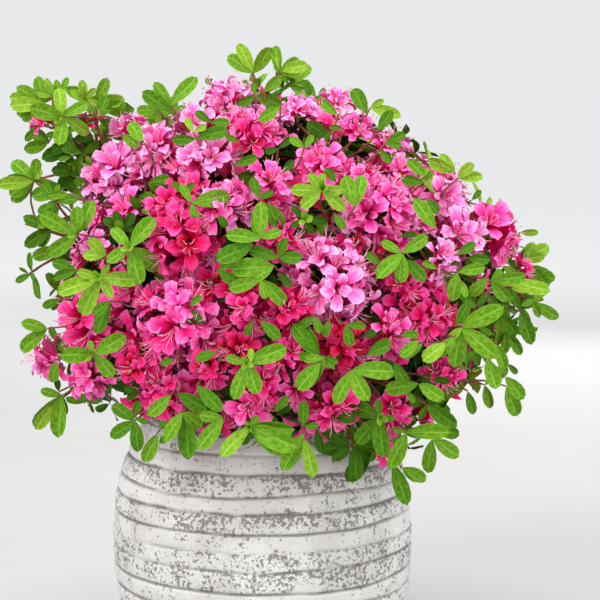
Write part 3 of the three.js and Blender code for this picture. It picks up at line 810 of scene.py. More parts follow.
def potRadius(height):
    above = height > potSettings["widestHeight"]
    span = potSettings["height"] - potSettings["widestHeight"] if above else potSettings["widestHeight"]
    end = potSettings["rimRadius"] if above else potSettings["footRadius"]
    share = abs(height - potSettings["widestHeight"]) / span
    widest = potSettings["widestRadius"]
    return widest - (widest - end) * share ** potSettings["roundness"]


def hitsPot(point):
    if point.z > potSettings["height"] + 3:
        return False
    radius = potRadius(min(point.z, potSettings["height"]))
    return math.hypot(point.x, point.y) < radius + potSettings["room"]


def addLeaf(root, way, normal, length, tone, reach, draw):
    tip = root + way * length
    if tip.z > skirtAt(tip) and (tip - crown["centre"]).length < reach:
        placeLeaf(root, way, normal, length, tone, draw)


def placeLeaf(root, way, normal, length, tone, draw):
    if any(hitsPot(root + way * length * share) for share in (0, 0.5, 1)):
        return
    normal = turned(normal, way, draw.uniform(-leafSettings["roll"], leafSettings["roll"]))
    turn = axes(way.cross(normal), way, normal)
    longFrom = leafSettings["longFrom"]
    wide = min(length, longFrom + leafSettings["longShare"] * (length - longFrom))
    wide *= draw.uniform(*leafSettings["widthRange"])
    leafPlaces[tone][draw.randrange(len(leafTemplates))].append(placeOf(turn, (wide, length, length), root))


whorlSettings = {
    "lowest": 14, "closing": 36, "sway": 0.15,      # degrees from the heading; the sway in radians
    "size": 1.06, "shrink": 0.46, "stretch": 7, "out": 1.2,
    "youngest": 0.9, "paler": 0.5,      # the youngest leaf is often a tone paler
}


def addWhorl(tip, heading, tone, reach, draw, size, count, spread):
    side = heading.orthogonal().normalized()
    phase = draw.uniform(0, 2 * math.pi)
    for k in range(count):
        share = k / (count - 1)     # 0 the lowest leaf, 1 the youngest
        lean = math.radians(spread + whorlSettings["lowest"] - whorlSettings["closing"] * share)
        lean += draw.uniform(-whorlSettings["sway"], whorlSettings["sway"])
        radial = turned(side, heading, phase + k * goldenAngle)
        way = heading * math.cos(lean) + radial * math.sin(lean)
        normal = heading * math.sin(lean) - radial * math.cos(lean)
        length = leafSettings["length"] * draw.uniform(*leafSettings["sizes"])
        length *= size * (whorlSettings["size"] - whorlSettings["shrink"] * share ** 2)
        root = tip - heading * (1 - share) * whorlSettings["stretch"] * size + way * whorlSettings["out"]
        leafTone = tone
        if share > whorlSettings["youngest"] and tone != "shade" and draw.random() < whorlSettings["paler"]:
            leafTone = leafTones[max(0, leafTones.index(tone) - 1)]
        addLeaf(root, way, normal, length, leafTone, reach, draw)


youngSettings = {"leaves": 3, "turn": 2.1, "open": (0.3, 0.75), "facing": 0.5, "lengths": (10, 15)}


def addYoungLeaves(tip, heading, reach, draw):
    # small leaves still folded up in the middle of a whorl
    side = heading.orthogonal().normalized()
    for k in range(youngSettings["leaves"]):
        radial = turned(side, heading, youngSettings["turn"] * k)
        way = (heading + radial * draw.uniform(*youngSettings["open"])).normalized()
        normal = (heading * youngSettings["facing"] - radial).normalized()
        normal = (normal - way * normal.dot(way)).normalized()
        addLeaf(tip, way, normal, draw.uniform(*youngSettings["lengths"]), "fresh", reach, draw)


sprigSettings = {
    "leaves": 5, "gap": 8.5, "lowest": 0.3, "lean": 0.5, "sizes": (0.55, 0.85), "beyond": 30,
    "outward": 0.4, "rise": 0.25, "wander": 0.3, "whorl": (0.86, 6, 66),      # size, leaves, spread
}


def addSprig(tip, tone, draw):
    # a long shoot with leaves up its last stretch and a whorl at its tip
    outward = tip - crown["centre"]
    mass = nearestMass(outward.normalized())
    reach = outward.length + sprigSettings["beyond"]
    heading = growTwig(mass, tip, draw, twigSettings["sprig"])
    fork, bend, end = twigs[-1][:3]
    side = heading.orthogonal().normalized()
    for k in range(1, sprigSettings["leaves"] + 1):
        share = 1 - k * sprigSettings["gap"] / (end - fork).length
        if share < sprigSettings["lowest"]:
            break
        point = fork * (1 - share) ** 2 + bend * 2 * share * (1 - share) + end * share ** 2
        radial = turned(side, heading, k * goldenAngle)
        way = (heading * sprigSettings["lean"] + radial).normalized()
        normal = (heading - way * heading.dot(way)).normalized()
        length = leafSettings["length"] * draw.uniform(*sprigSettings["sizes"])
        addLeaf(point, way, normal, length, tone, reach, draw)
    heading += outward.normalized() * sprigSettings["outward"] + up * sprigSettings["rise"]
    heading = (heading + wander(draw, sprigSettings["wander"])).normalized()
    addWhorl(tip, heading, tone, reach, draw, *sprigSettings["whorl"])
    addYoungLeaves(tip, heading, reach, draw)


# Leaves that lie over the blossom in front: azimuth, elevation and tone of each spray, then two numbers for
# each leaf: the way it points, in degrees from upright as seen from the front, and how long it looks
# a spray's tone is partly painted light: lit leaves are bright, shaded ones take the full and dark tones
frontSprays = [
    (-84, 19, "full", -70, 23, 5, 22, -125, 26, -150, 18),
    (-54, 19, "bright", -60, 33, 0, 21, 25, 30, -125, 28, -5, 8),
    (-35, 17, "bright", 40, 29, -40, 22, 125, 29, 165, 28, -120, 20), (-41, 15, "fresh", -90, 17, -50, 19),
    (-42, 10, "fresh", -75, 17, -110, 34, -155, 33, 95, 31, 150, 18, 40, 12),
    (-40, 5, "full", -155, 27, -130, 17), (-53, 11, "full", -70, 20, -110, 19), (-59, 4, "full", -115, 14),
    (-63, -3, "bright", -75, 20, -130, 29), (-61, -10, "bright", -175, 18),
    (-44, -7, "bright", -90, 28, 60, 27, 140, 22, -20, 8),
    (-43, 22, "dark", -60, 17, -25, 16, 80, 12, -70, 7, 30, 15), (-59, 10, "dark", -145, 15, -160, 20),
    (-70, 28, "bright", -95, 16), (-85, 29, "bright", -105, 28), (-85, 25, "full", -130, 13, -20, 19),
    (-84, 29, "dark", -40, 19, -125, 11, 60, 13), (-65, 46, "bright", 125, 17), (-47, 44, "bright", -35, 21),
    (-61, 56, "bright", -95, 18, 180, 9), (-42, 30, "full", 145, 15), (-37, 33, "full", 115, 18, 75, 19),
    (-86, 44, "full", -45, 12, -100, 6), (-3, 20, "bright", -85, 26, 0, 26, 70, 15),
    (1, 16, "full", -75, 22, 20, 16, 90, 19), (1, 13, "dark", 140, 14), (-5, 19, "full", -115, 32),
    (0, 14, "bright", -95, 32, -125, 19), (-13, 13, "full", 120, 21, 65, 13),
    (-3, 11, "bright", -105, 24, 165, 14, 135, 27), (-3, 2, "full", 135, 19), (-5, 2, "full", -160, 12),
    (9, 3, "full", -125, 15, 165, 13), (12, 2, "full", -170, 12), (16, 1, "full", 170, 16, 95, 14),
    (10, -6, "full", -40, 30, -90, 15, 125, 13), (10, -7, "bright", -140, 26),
    (17, -9, "bright", 90, 36, -155, 27, 150, 26), (17, -9, "dark", -45, 13, 30, 11),
    (21, -6, "full", 60, 20), (21, -3, "dark", 55, 12), (30, 16, "bright", -60, 17, -135, 28, -175, 20),
    (25, 14, "full", -50, 14), (-3, 29, "full", 140, 24),
    (-6, -7, "bright", -75, 16, 70, 31, -160, 28, 160, 24), (-5, -7, "fresh", 0, 6),
    (-13, -5, "full", -110, 15), (-23, -7, "full", -110, 10), (-20, 4, "dark", 140, 13, -175, 10),
    (-19, 5, "full", 50, 11), (-24, -15, "bright", -130, 22), (-23, -15, "full", 120, 25),
    (-18, -13, "full", 135, 26), (-22, -19, "bright", -150, 25, 125, 21), (-22, -20, "full", 175, 34),
    (-12, -20, "bright", -85, 17, -140, 30), (-6, -22, "fresh", -135, 29),
    (-6, -22, "bright", 115, 42, 130, 32, 95, 35, 45, 8), (-7, -23, "dark", -170, 19),
    (-37, -23, "full", -55, 21, -125, 22, 175, 23), (-37, -22, "full", 15, 13, 115, 9),
    (-30, -25, "bright", -155, 24), (-36, -17, "dark", -75, 12, -115, 10),
    (-27, -25, "full", -140, 12, -50, 6), (0, -19, "full", 40, 16), (50, 59, "full", -30, 25),
    (50, 59, "fresh", 60, 12, 105, 25), (41, 50, "full", 35, 18), (39, 45, "full", 65, 17, 100, 13),
    (35, 43, "full", 135, 14), (25, 54, "bright", -50, 16), (22, 51, "dark", -60, 21),
    (15, 48, "dark", 45, 16, 105, 20, -20, 10), (26, 51, "full", -90, 9), (9, 43, "bright", -55, 13, 35, 10),
    (12, 31, "fresh", -90, 23, -130, 20, -40, 15, 0, 12, 90, 16, 130, 23),
    (20, 27, "bright", -20, 25, 15, 26), (17, 34, "full", -40, 13),
    (8, 26, "dark", -45, 13, 150, 12, -115, 9, 95, 17), (15, 26, "full", 145, 13),
    (41, 21, "bright", -35, 27), (34, 21, "dark", 80, 10), (45, 34, "bright", -50, 19),
    (45, 33, "full", -80, 18, 35, 11), (40, 29, "dark", -50, 15, 75, 7), (43, 29, "full", 140, 15),
    (63, 35, "fresh", -65, 23, -40, 18), (60, 33, "fresh", 45, 17, 85, 19),
    (-78, 84, "fresh", -30, 25, -175, 12), (-78, 84, "bright", 35, 28, -55, 27),
    (37, 89, "bright", -10, 23, 55, 19), (39, 89, "fresh", -15, 12, 100, 18, 80, 23),
    (-12, 66, "full", -15, 11, 110, 22, -115, 15), (-7, 66, "bright", 50, 17, 65, 13),
    (2, 58, "bright", -125, 20), (-55, 58, "bright", -35, 21, 45, 30), (-54, 57, "full", -55, 27),
    (-85, 75, "full", -70, 8), (-26, 53, "full", -55, 14, 90, 14), (-28, 47, "full", -95, 18, 75, 26),
    (-28, 47, "fresh", -25, 13, 60, 10), (-12, 46, "full", -65, 9), (1, 47, "dark", 50, 13, -105, 8),
    (-12, 39, "full", 70, 18), (-13, 37, "dark", 80, 22), (-5, 38, "dark", 105, 12), (2, 39, "dark", 45, 14),
    (-37, 33, "full", 115, 19), (-25, 31, "full", -40, 11, 50, 12),
    (-21, 28, "bright", -30, 15, 80, 30, 165, 16), (-14, 26, "full", 150, 12),
    (-4, 30, "full", -20, 16, 65, 10), (-4, 28, "bright", -180, 24), (30, 16, "bright", 55, 23, 180, 22),
    (31, 15, "full", 135, 23), (39, 12, "bright", -65, 13), (48, 15, "full", 55, 15),
    (51, 14, "full", 95, 18), (55, 14, "dark", 155, 16), (45, 11, "bright", 80, 21, -170, 22),
    (46, 9, "bright", 165, 13), (56, 9, "bright", -135, 19), (57, 8, "bright", 40, 12, 80, 28, 135, 20),
    (66, 7, "fresh", 100, 31), (45, -1, "bright", 65, 35, -170, 33), (45, -1, "bright", 130, 35),
    (45, -1, "full", 25, 19), (45, -1, "fresh", -130, 13), (43, -3, "bright", -140, 20),
    (40, -4, "fresh", -130, 23), (33, -3, "bright", -130, 20), (53, -2, "full", 55, 11, 115, 9),
    (53, -7, "full", -140, 12, 175, 13), (59, -6, "bright", 160, 21), (56, -9, "bright", 165, 26),
    (70, -15, "bright", 140, 24), (76, -13, "full", 135, 12), (81, -19, "bright", 160, 26),
    (50, -17, "dark", -155, 17), (53, -17, "full", 165, 18), (28, -8, "full", 155, 19),
    (34, -13, "bright", -100, 19, 120, 23), (49, -16, "full", -110, 26), (42, -14, "dark", 100, 14),
    (10, -5, "full", -40, 27), (11, -6, "bright", -95, 16, -140, 30), (11, -6, "full", 115, 11),
    (21, -6, "full", 65, 19), (21, -3, "dark", 60, 11), (29, -2, "full", 85, 14),
    (34, -4, "bright", -120, 18), (7, -23, "full", 0, 19, 85, 10), (7, -24, "bright", -150, 31, -145, 17),
    (7, -25, "fresh", 165, 30), (27, -8, "dark", 140, 14), (34, -13, "bright", -100, 25, 120, 23),
    (32, -15, "full", 145, 10), (26, -21, "full", -70, 25, -5, 12, -140, 28, 175, 31, 100, 10),
    (34, -25, "bright", 90, 34, -155, 30, -80, 8), (44, -28, "bright", 120, 24, -170, 27),
    (39, -19, "full", -155, 12, 125, 28), (44, -25, "full", 110, 21), (15, -22, "dark", 100, 18),
    (22, -32, "dark", -55, 31, -95, 24, -125, 18), (23, -32, "dark", 175, 28, 90, 21, 145, 13),
    (29, -33, "dark", -145, 32), (36, -36, "full", 160, 32), (38, -36, "bright", 125, 17, 115, 23),
    (11, -26, "dark", 165, 18),
]

# Sprays that stand out from the crown: the same, with the distance beyond its surface after the elevation
# here too a spray's tone is partly painted light: shaded leaves take the full and dark tones
outerSprays = [
    (-72, 41, 56, "bright", -75, 29, -170, 25, 125, 25, 60, 23), (-74, 41, 56, "fresh", -5, 23, 50, 8),
    (-86, 41, 74, "bright", -60, 25, -115, 25, -15, 22, 30, 17),
    (-85, 41, 74, "fresh", -95, 27, 25, 13, -80, 30), (-94, 44, 72, "bright", 20, 14, -25, 12),
    (-93, 40, 67, "full", -130, 22, 135, 14), (-90, 48, 43, "bright", 25, 22, 105, 33, -50, 14, -65, 28),
    (-92, 48, 44, "fresh", 85, 23, 75, 17, -125, 10), (-93, 46, 35, "full", 120, 23, -115, 17),
    (-87, 27, 40, "bright", -45, 26, -85, 25, -120, 23, -135, 26, 10, 19, 105, 19),
    (-86, 27, 40, "fresh", -95, 31, 35, 5), (-90, 35, 49, "bright", -105, 21, -65, 13),
    (-94, 36, 68, "full", -140, 15, 145, 15), (-84, 36, 24, "bright", -105, 9),
    (-87, 38, 30, "dark", -115, 27, 95, 23, 65, 12, -40, 13),
    (-84, 34, 12, "dark", -90, 21, -130, 23, -35, 17, 40, 20), (-84, 15, -9, "bright", -105, 27),
    (-79, -22, 5, "bright", -135, 34, -175, 34, -75, 17), (-80, -21, 6, "full", -5, 9, 165, 20),
    (-80, -23, 15, "fresh", -145, 25), (83, 1, 22, "bright", 40, 18, 125, 26, 155, 14),
    (81, -1, 11, "full", 160, 29, -25, 11), (82, 0, 11, "bright", -45, 22, 60, 8),
    (73, -1, -3, "full", 140, 22, -125, 12, -35, 17), (73, -1, -3, "bright", 170, 24),
    (79, 5, 2, "fresh", 95, 18, -65, 17, 55, 10), (90, 9, 18, "bright", 120, 32, 140, 20, 130, 27),
    (91, 10, 17, "fresh", 65, 27, 35, 17, 80, 19), (93, 16, 23, "fresh", 90, 15, -155, 11),
    (90, 28, 0, "full", 45, 7), (84, 10, -3, "fresh", 30, 10, 120, 13),
    (79, 34, -16, "fresh", -30, 26, 40, 18), (72, -19, -3, "bright", 165, 19, 50, 25),
    (-85, 39, 33, "dark", -120, 20, -40, 15, 80, 18, 160, 16),
    (-82, 38, 18, "full", -75, 17, -150, 20, 60, 16),
    (-81, 39, 44, "full", -100, 14, -30, 12, 150, 17, 70, 13),
    (-83, 37, 4, "dark", -110, 19, -30, 16, 50, 18, 140, 15),
    (-87, 33, 10, "dark", -60, 18, -140, 17, 100, 14), (-85, 41, 12, "dark", -45, 17, 45, 19, 130, 15),
    (-78, 32, -5, "full", -120, 17, -60, 14, 130, 16),
    (-86, 45, 15, "full", -70, 13, 20, 14, 100, 15, 175, 15),
    (-83, 43, 73, "fresh", -20, 15, 60, 12, -75, 13, 160, 13),
    (-80, 47, 52, "fresh", -10, 15, 45, 13, -60, 13, 120, 14),
    (-87, 39, 74, "bright", -80, 18, -45, 14, -120, 15), (-86, 50, 20, "full", 60, 14, 110, 13, 20, 12),
]
frontSettings = {
    "viewer": Vector((35, -1700, 512)), "lean": 0.42, "longer": 1.12, "shortest": 11,
    "rises": 20, "out": 0.8, "youngFrom": 4, "beyond": 30,
    "depth": {"fresh": 15, "bright": 13, "full": 8, "dark": -3},
}
# whorls are size, leaves and spread
tipSettings = {"room": 16, "lift": Vector((0, -0.6, 0.35)), "beyond": 30, "whorl": (0.66, 5, 68)}
backSettings = {
    "ways": 560, "from": -0.05, "share": 0.46, "depth": (-3, 7), "room": 24, "skirt": 12,
    "rise": 0.15, "wander": 0.3, "sizes": (0.62, 0.95), "leaves": (3, 4, 5, 6), "spread": 76, "beyond": 20,
}
shellSettings = [
    # depth of the whorls; among blossom the shares of whorls and of flowers, elsewhere the share of whorls
    {"ways": 1150, "inset": 20, "spread": 72, "leaves": 6, "whorls": 0.1, "flowers": 0.5, "green": 0.6},
    {"ways": 620, "inset": 44, "spread": 72, "leaves": 5, "whorls": 0.36, "flowers": 0.56, "green": 0.9},
    {"ways": 300, "inset": 74, "spread": 70, "leaves": 5, "whorls": 1.0, "flowers": 0, "green": 1.0},
]
# deeper shells take darker leaf tones: painted shade inside the crown, dark and shade leaves where only
# shade is seen
shellTones = [
    ("fresh", "bright", "bright", "bright", "full", "full", "dark"),
    ("full", "dark", "dark", "dark", "shade"),
    ("dark", "shade", "shade", "shade"),
]
foliageSettings = {
    "seed": 31, "front": -0.1, "room": 26, "skirts": (18, 6, 6),
    "long": 1.08, "longShares": (0.1, 0.22),      # share of sprigs left and right, where a mass reaches far
    "leftGreen": 0.55, "greenFlowers": 0.06, "frontFlowers": 0.62, "buds": 0.1, "sizes": (0.84, 1.06),
    "depth": (-7, 5), "scatter": 4, "follow": 0.4, "rise": 0.2, "wander": 0.28, "beyond": 12,
    "leafCover": 0.88, "flowerCover": 0.8,      # shares of a truss's radius
}


def coveredBy(blooms, point, share):
    return any((point - bloom["hub"]).length < bloom["radius"] * share for bloom in blooms)


def growSpray(azimuth, elevation, beyond, tone, leaves, draw):
    way = direction(azimuth, elevation)
    tip = fromCentre(way, surfaceAt(way) + beyond)
    rising = way if beyond < frontSettings["rises"] else None
    heading = growTwig(nearestMass(way), tip, draw, rising=rising)
    towards = (frontSettings["viewer"] - tip).normalized()
    right = towards.cross(up).normalized() * -1
    upright = right.cross(towards) * -1
    pairs = list(zip(leaves[::2], leaves[1::2]))
    for clock, length in pairs:
        turn = math.radians(clock)
        across = right * math.sin(turn) + upright * math.cos(turn)
        lean = draw.uniform(-frontSettings["lean"], frontSettings["lean"])
        leafWay = across * math.cos(lean) + towards * math.sin(lean)
        normal = towards * math.cos(lean) - across * math.sin(lean)
        length = max(frontSettings["shortest"], length) * frontSettings["longer"]
        placeLeaf(tip + leafWay * frontSettings["out"], leafWay, normal, length, tone, draw)
    if len(pairs) >= frontSettings["youngFrom"]:
        reach = surfaceAt(way) + beyond + frontSettings["beyond"]
        addYoungLeaves(tip, (towards + heading).normalized(), reach, draw)
    return tip


def growSprays(draw):
    front = [growSpray(azimuth, elevation, frontSettings["depth"][tone], tone, leaves, draw)
             for azimuth, elevation, tone, *leaves in frontSprays]
    return front + [growSpray(azimuth, elevation, beyond, tone, leaves, draw)
                    for azimuth, elevation, beyond, tone, *leaves in outerSprays]


def isFree(tip, taken, room):
    return all((tip - other).length > room for other in taken)


def growBareTips(taken, draw):
    # green masses end each bare limb in a whorl, which turns up and towards the light
    for mass in masses:
        for start, tip in mass["limbs"][1:]:
            if mass["tone"] == "green" and isFree(tip, taken, tipSettings["room"]):
                heading = ((tip - start).normalized() + tipSettings["lift"]).normalized()
                reach = (tip - crown["centre"]).length + tipSettings["beyond"]
                addWhorl(tip, heading, "full", reach, draw, *tipSettings["whorl"])


def growBackSprays(taken, draw):
    # behind, leaves lie over the blossom as they do in front
    for way in evenWays(backSettings["ways"]):
        tip = fromCentre(way, surfaceAt(way) + draw.uniform(*backSettings["depth"]))
        mass = nearestMass(way)
        if way.y < backSettings["from"] or mass["tone"] == "green" or draw.random() > backSettings["share"]:
            continue
        isLow = hitsPot(tip) or tip.z < skirtAt(tip) + backSettings["skirt"]
        if isLow or not isFree(tip, taken, backSettings["room"]):
            continue
        growTwig(mass, tip, draw)
        heading = (way + up * backSettings["rise"] + wander(draw, backSettings["wander"])).normalized()
        tone = draw.choice(shellTones[0])
        size, count = draw.uniform(*backSettings["sizes"]), draw.choice(backSettings["leaves"])
        reach = surfaceAt(way) + backSettings["beyond"]
        addWhorl(tip, heading, tone, reach, draw, size, count, backSettings["spread"])
        taken.append(tip)


def growShell(blooms, taken, layer, draw):
    shell, isOuter = shellSettings[layer], layer == 0
    for way in evenWays(shell["ways"]):
        mass, surface = nearestMass(way), surfaceAt(way)
        reach = reachOf(mass, way)
        tip = fromCentre(way, surface - shell["inset"] + draw.uniform(*foliageSettings["depth"]))
        tip += wander(draw, foliageSettings["scatter"])
        pick, far = draw.random(), draw.random()
        isGreen, isFront = mass["tone"] == "green", way.y < foliageSettings["front"]
        isLong = reach > foliageSettings["long"] * surface
        if isOuter and isLong and not isFront and far < foliageSettings["longShares"][way.x >= 0]:
            addSprig(fromCentre(way, draw.uniform(surface, reach - shell["inset"])), "bright", draw)
            continue
        if hitsPot(tip) or tip.z < skirtAt(tip) + foliageSettings["skirts"][layer]:
            continue
        if isOuter and not isFree(tip, taken, foliageSettings["room"]):
            continue
        whorls = shell["green" if isGreen else "whorls"]
        flowers = foliageSettings["greenFlowers"] if isGreen else shell["flowers"]
        if isGreen and way.x < 0:
            whorls *= foliageSettings["leftGreen"]
        if isOuter and isFront:
            whorls = 0
            flowers *= foliageSettings["frontFlowers"]
        if pick < whorls and not coveredBy(blooms, tip, foliageSettings["leafCover"]):
            tone = draw.choice(shellTones[layer])
            heading = growTwig(mass, tip, draw) * foliageSettings["follow"] + way
            heading += up * foliageSettings["rise"] + wander(draw, foliageSettings["wander"])
            size = draw.uniform(*foliageSettings["sizes"])
            reach = surface + foliageSettings["beyond"]
            heading.normalize()
            addWhorl(tip, heading, tone, reach, draw, size, shell["leaves"], shell["spread"])
            if isOuter and pick < foliageSettings["buds"]:
                addBuds(tip, heading, draw)
        elif whorls <= pick < whorls + flowers:
            if not coveredBy(blooms, tip, foliageSettings["flowerCover"]):
                addSingle(tip, way, mass, layer, draw)


singleSettings = {
    "root": 18, "sizes": (0.76, 0.94), "counts": (1, 1, 2), "lean": 0.75, "turn": 2.6, "out": 3,
    # high and low: painted light, paler flowers high up and darker ones low down; inner: painted shade for
    # flowers deeper in
    "highFrom": 0.35, "high": ("light", "soft", "mid"), "low": ("mid", "deep", "deep", "wine"),
    "inner": ("deep", "wine", "crimson"),
}
budSettings = {
    "counts": (1, 2, 3), "lean": (0.1, 0.5), "turn": 2.1, "lengths": (12, 17), "width": 0.2, "out": 2,
    "calyx": (2.4, 2.4, 3.4), "calyxOut": 1,
}


def addSingle(tip, way, mass, layer, draw):
    # one or two flowers on their own, between the trusses or deeper in; their tone is painted light, paler
    # high up, darker low down and darkest deeper in as painted shade
    outer = "high" if way.z > singleSettings["highFrom"] else "low"
    tone = draw.choice(singleSettings["inner" if layer else outer])
    root = tip - way * singleSettings["root"]
    growTwig(mass, root, draw)
    side = way.orthogonal().normalized()
    for k in range(draw.choice(singleSettings["counts"])):
        lean = turned(way, side, draw.uniform(0, singleSettings["lean"]))
        along = turned(lean, way, singleSettings["turn"] * k + draw.uniform(0, 1)).normalized()
        size = draw.uniform(*singleSettings["sizes"])
        addFlower(root + along * singleSettings["out"], along, tone, draw, size)


def addBuds(tip, heading, draw):
    side = heading.orthogonal().normalized()
    for k in range(draw.choice(budSettings["counts"])):
        lean = turned(heading, side, draw.uniform(*budSettings["lean"]))
        way = turned(lean, heading, budSettings["turn"] * k).normalized()
        long = draw.uniform(*budSettings["lengths"])
        wide = long * budSettings["width"]
        budPlaces.append(placeOf(axesUp(way), (wide, wide, long), tip + way * budSettings["out"]))
        calyxPlaces.append(placeOf(axesUp(way), budSettings["calyx"], tip + way * budSettings["calyxOut"]))


blooms = layOutBlooms()
draw = random.Random(trussSettings["seed"])
for bloom in blooms:
    addTruss(bloom, draw)
draw = random.Random(foliageSettings["seed"])
taken = growSprays(draw)
growBareTips(taken, draw)
growBackSprays(taken, draw)
for layer in range(len(shellSettings)):
    growShell(blooms, taken, layer, draw)
print("grown:", len(blooms), "trusses,", len(calyxPlaces), "flowers and buds,",
      sum(len(places) for byShape in leafPlaces.values() for places in byShape.values()), "leaves")


# Finishes of leaves, petals and twigs

def leafFinish(name, body, vein, rim, shine):
    finish = Finish(name, Specular_IOR_Level=0.09)
    across, along, layout = finish.acrossAndAlong()
    out = abs(across)
    midrib = 1 - out.between(0.03, 0.1)
    ribs = (((along - out * 0.32) * 44).wave() * 0.5 + 0.5) ** 4 * (1 - out.between(0.75, 1.0))
    # a leaf is longer than it is wide, so its patches of painted sheen are squeezed to come out round
    squeezed = finish.node("ShaderNodeVectorMath", {"operation": "MULTIPLY"}, {0: layout, 1: (1, 2.4, 1)})
    sheenMottle = finish.noise(squeezed, 4.5, 3)
    # pale patches of the rim colour over the body are painted sheen: highlights laid into the colour
    base = finish.blend(sheenMottle.between(0.35, 0.7) * 0.5, body, rim)
    # the pale margin stands for the leaf's fringe of hairs and is painted highlight: the hairs lit from
    # behind
    layers = [(ribs * 0.16, vein), (midrib * 0.75, vein), (out.between(0.86, 0.98) * 0.6, rim)]
    height = (1 - midrib) * 0.6 + (1 - ribs) * 0.3
    return finish.surface(base, layers, 0.44 + sheenMottle * shine, height, 0.3, 0.0012)


leafColours = {
    # body, vein, rim (the pale margin, also laid in patches over the body as painted sheen), and how much
    # the roughness varies
    "fresh": ((112, 160, 8), (184, 212, 104), (172, 204, 84), 0.25),
    "bright": ((82, 134, 2), (146, 190, 74), (142, 186, 62), 0.22),
    "full": ((60, 110, 2), (116, 162, 54), (108, 156, 40), 0.22),
    "dark": ((42, 84, 2), (84, 126, 34), (72, 114, 18), 0.2),
    "shade": ((30, 58, 2), (54, 84, 18), (42, 72, 8), 0.25),
}
petalColours = {
    # tip (partly painted highlight), body, throat
    "blush": ((254, 188, 238), (252, 108, 196), (244, 12, 120)),
    "rose": ((254, 142, 210), (250, 54, 160), (234, 0, 86)),
    "hot": ((252, 98, 178), (242, 22, 120), (212, 0, 60)),
    "deep": ((232, 60, 138), (208, 6, 76), (178, 0, 38)),
    # crimson is painted shade: the dark colour of flowers deep in shadow
    "crimson": ((224, 50, 102), (194, 0, 40), (152, 0, 18)),
}


def petalFinish(name, tip, body, throat):
    finish = Finish(name, Specular_IOR_Level=0.08)
    across, along, layout = finish.acrossAndAlong()
    out = abs(across)
    veins = (across * 9 + (along * 3).wave() * 0.6).wave() * 0.5 + 0.5
    cloud = finish.noise(layout, 4.0, 3)
    reach = along + (cloud - 0.5) * 0.3 + out * 0.12
    base = finish.blend(reach.between(0.14, 0.52), throat, body)
    # the pale tip colour and the paler edges are partly the petals' own paling and partly painted highlight
    # on their rims
    layers = [
        (reach.between(0.46, 0.92), tip),
        (veins ** 3 * 0.22 * (1 - along.between(0.7, 1.0)), throat),
        (out.between(0.8, 1.0) * along.between(0.4, 0.8) * 0.5, tip),
    ]
    return finish.surface(base, layers, 0.5 + cloud * 0.2, veins * 0.5 + cloud, 0.25, 0.001)


# noise: scale, detail, roughness; where the colour changes; roughness and how far it varies; bump; shine
grainSettings = {
    "bark": ((120, 4, 0.6), (0.35, 0.68), (0.7, 0.25), (0.5, 0.001), 0.25),
    "soil": ((160, 5, 0.65), (0.3, 0.75), (0.85, 0.12), (0.6, 0.002), 0.2),
    "stem": ((9, 3, 0.5), (0.38, 0.65), (0.5, 0.3), (0.3, 0.0006), 0.3),
}


def grainFinish(name, kind, dark, light):
    # stems follow the layout of one tube, which all of a piece's tubes share
    scales, span, (smooth, more), bump, shine = grainSettings[kind]
    finish = Finish(name, Specular_IOR_Level=shine)
    grain = finish.noise(finish.layout() if kind == "stem" else finish.objectPlace(), *scales)
    base = finish.blend(grain.between(*span), dark, light)
    return finish.surface(base, (), smooth + grain * more, grain, *bump)


def massNodes(tone):
    return [f"mass_{mass['name']}" for mass in masses if mass["tone"] == tone]


def makeSprays(name, templates, places, finish, nodes):
    parts = [(templates[k], placedPoints(templates[k], copies)) for k, copies in places.items() if copies]
    finished(joinedPiece(name, parts), finish, nodes)


for tone in leafTones:
    nodes = massNodes("green") if tone == "bright" else ()
    finish = leafFinish(f"{tone} leaf", *leafColours[tone])
    makeSprays(f"leaves_{tone}", leafTemplates, leafPlaces[tone], finish, nodes)

standsFor = {"blush": "light", "rose": "mid", "deep": "deep"}
for tone in toneSteps:
    nodes = massNodes(standsFor[tone]) if tone in standsFor else ()
    finish = petalFinish(f"{tone} petal", *petalColours[tone])
    makeSprays(f"petals_{tone}", petalTemplates, petalPlaces[tone], finish, nodes)

# name, slot, template, how its copies are placed, the copies, finish
smallPieces = [
    ("stamens", "blossom_light", tubeTemplate(3, 4), bentTubes, stamens,
     grainFinish("stamen", "stem", (248, 150, 196), (255, 214, 230))),
    ("anthers", "blossom_deep", ballTemplate(4, 3, lambda height: math.sin(math.pi * height)),
     placedPoints, antherPlaces, grainFinish("anther", "stem", (150, 96, 60), (214, 168, 110))),
    ("flower_buds", "blossom_deep",
     ballTemplate(7, 7, lambda height: math.sin(math.pi * height ** 0.75) ** 0.9),
     placedPoints, budPlaces, petalFinish("closed bud", (226, 40, 120), (214, 18, 90), (120, 150, 50))),
    ("calyxes", "foliage", ballTemplate(6, 5, lambda height: math.sin(math.pi * (0.12 + 0.72 * height))),
     placedPoints, calyxPlaces, grainFinish("calyx", "stem", (96, 140, 40), (150, 180, 70))),
    ("twigs", "bark", tubeTemplate(5, 4), bentTubes, twigs,
     grainFinish("twig bark", "stem", (104, 52, 38), (156, 96, 70))),
    ("young_twigs", "foliage", tubeTemplate(4, 3), bentTubes, youngTwigs,
     grainFinish("young twig", "stem", (110, 130, 44), (164, 120, 74))),
]
for name, slot, template, place, copies, finish in smallPieces:
    finished(joinedPiece(name, [(template, place(template, copies))]), finish)


# Bark: trunk and boughs with relief

barkSettings = {"cuts": 2, "smooth": 0.6, "relief": 0.9, "coarse": 70, "fine": 260, "stretch": 0.35}


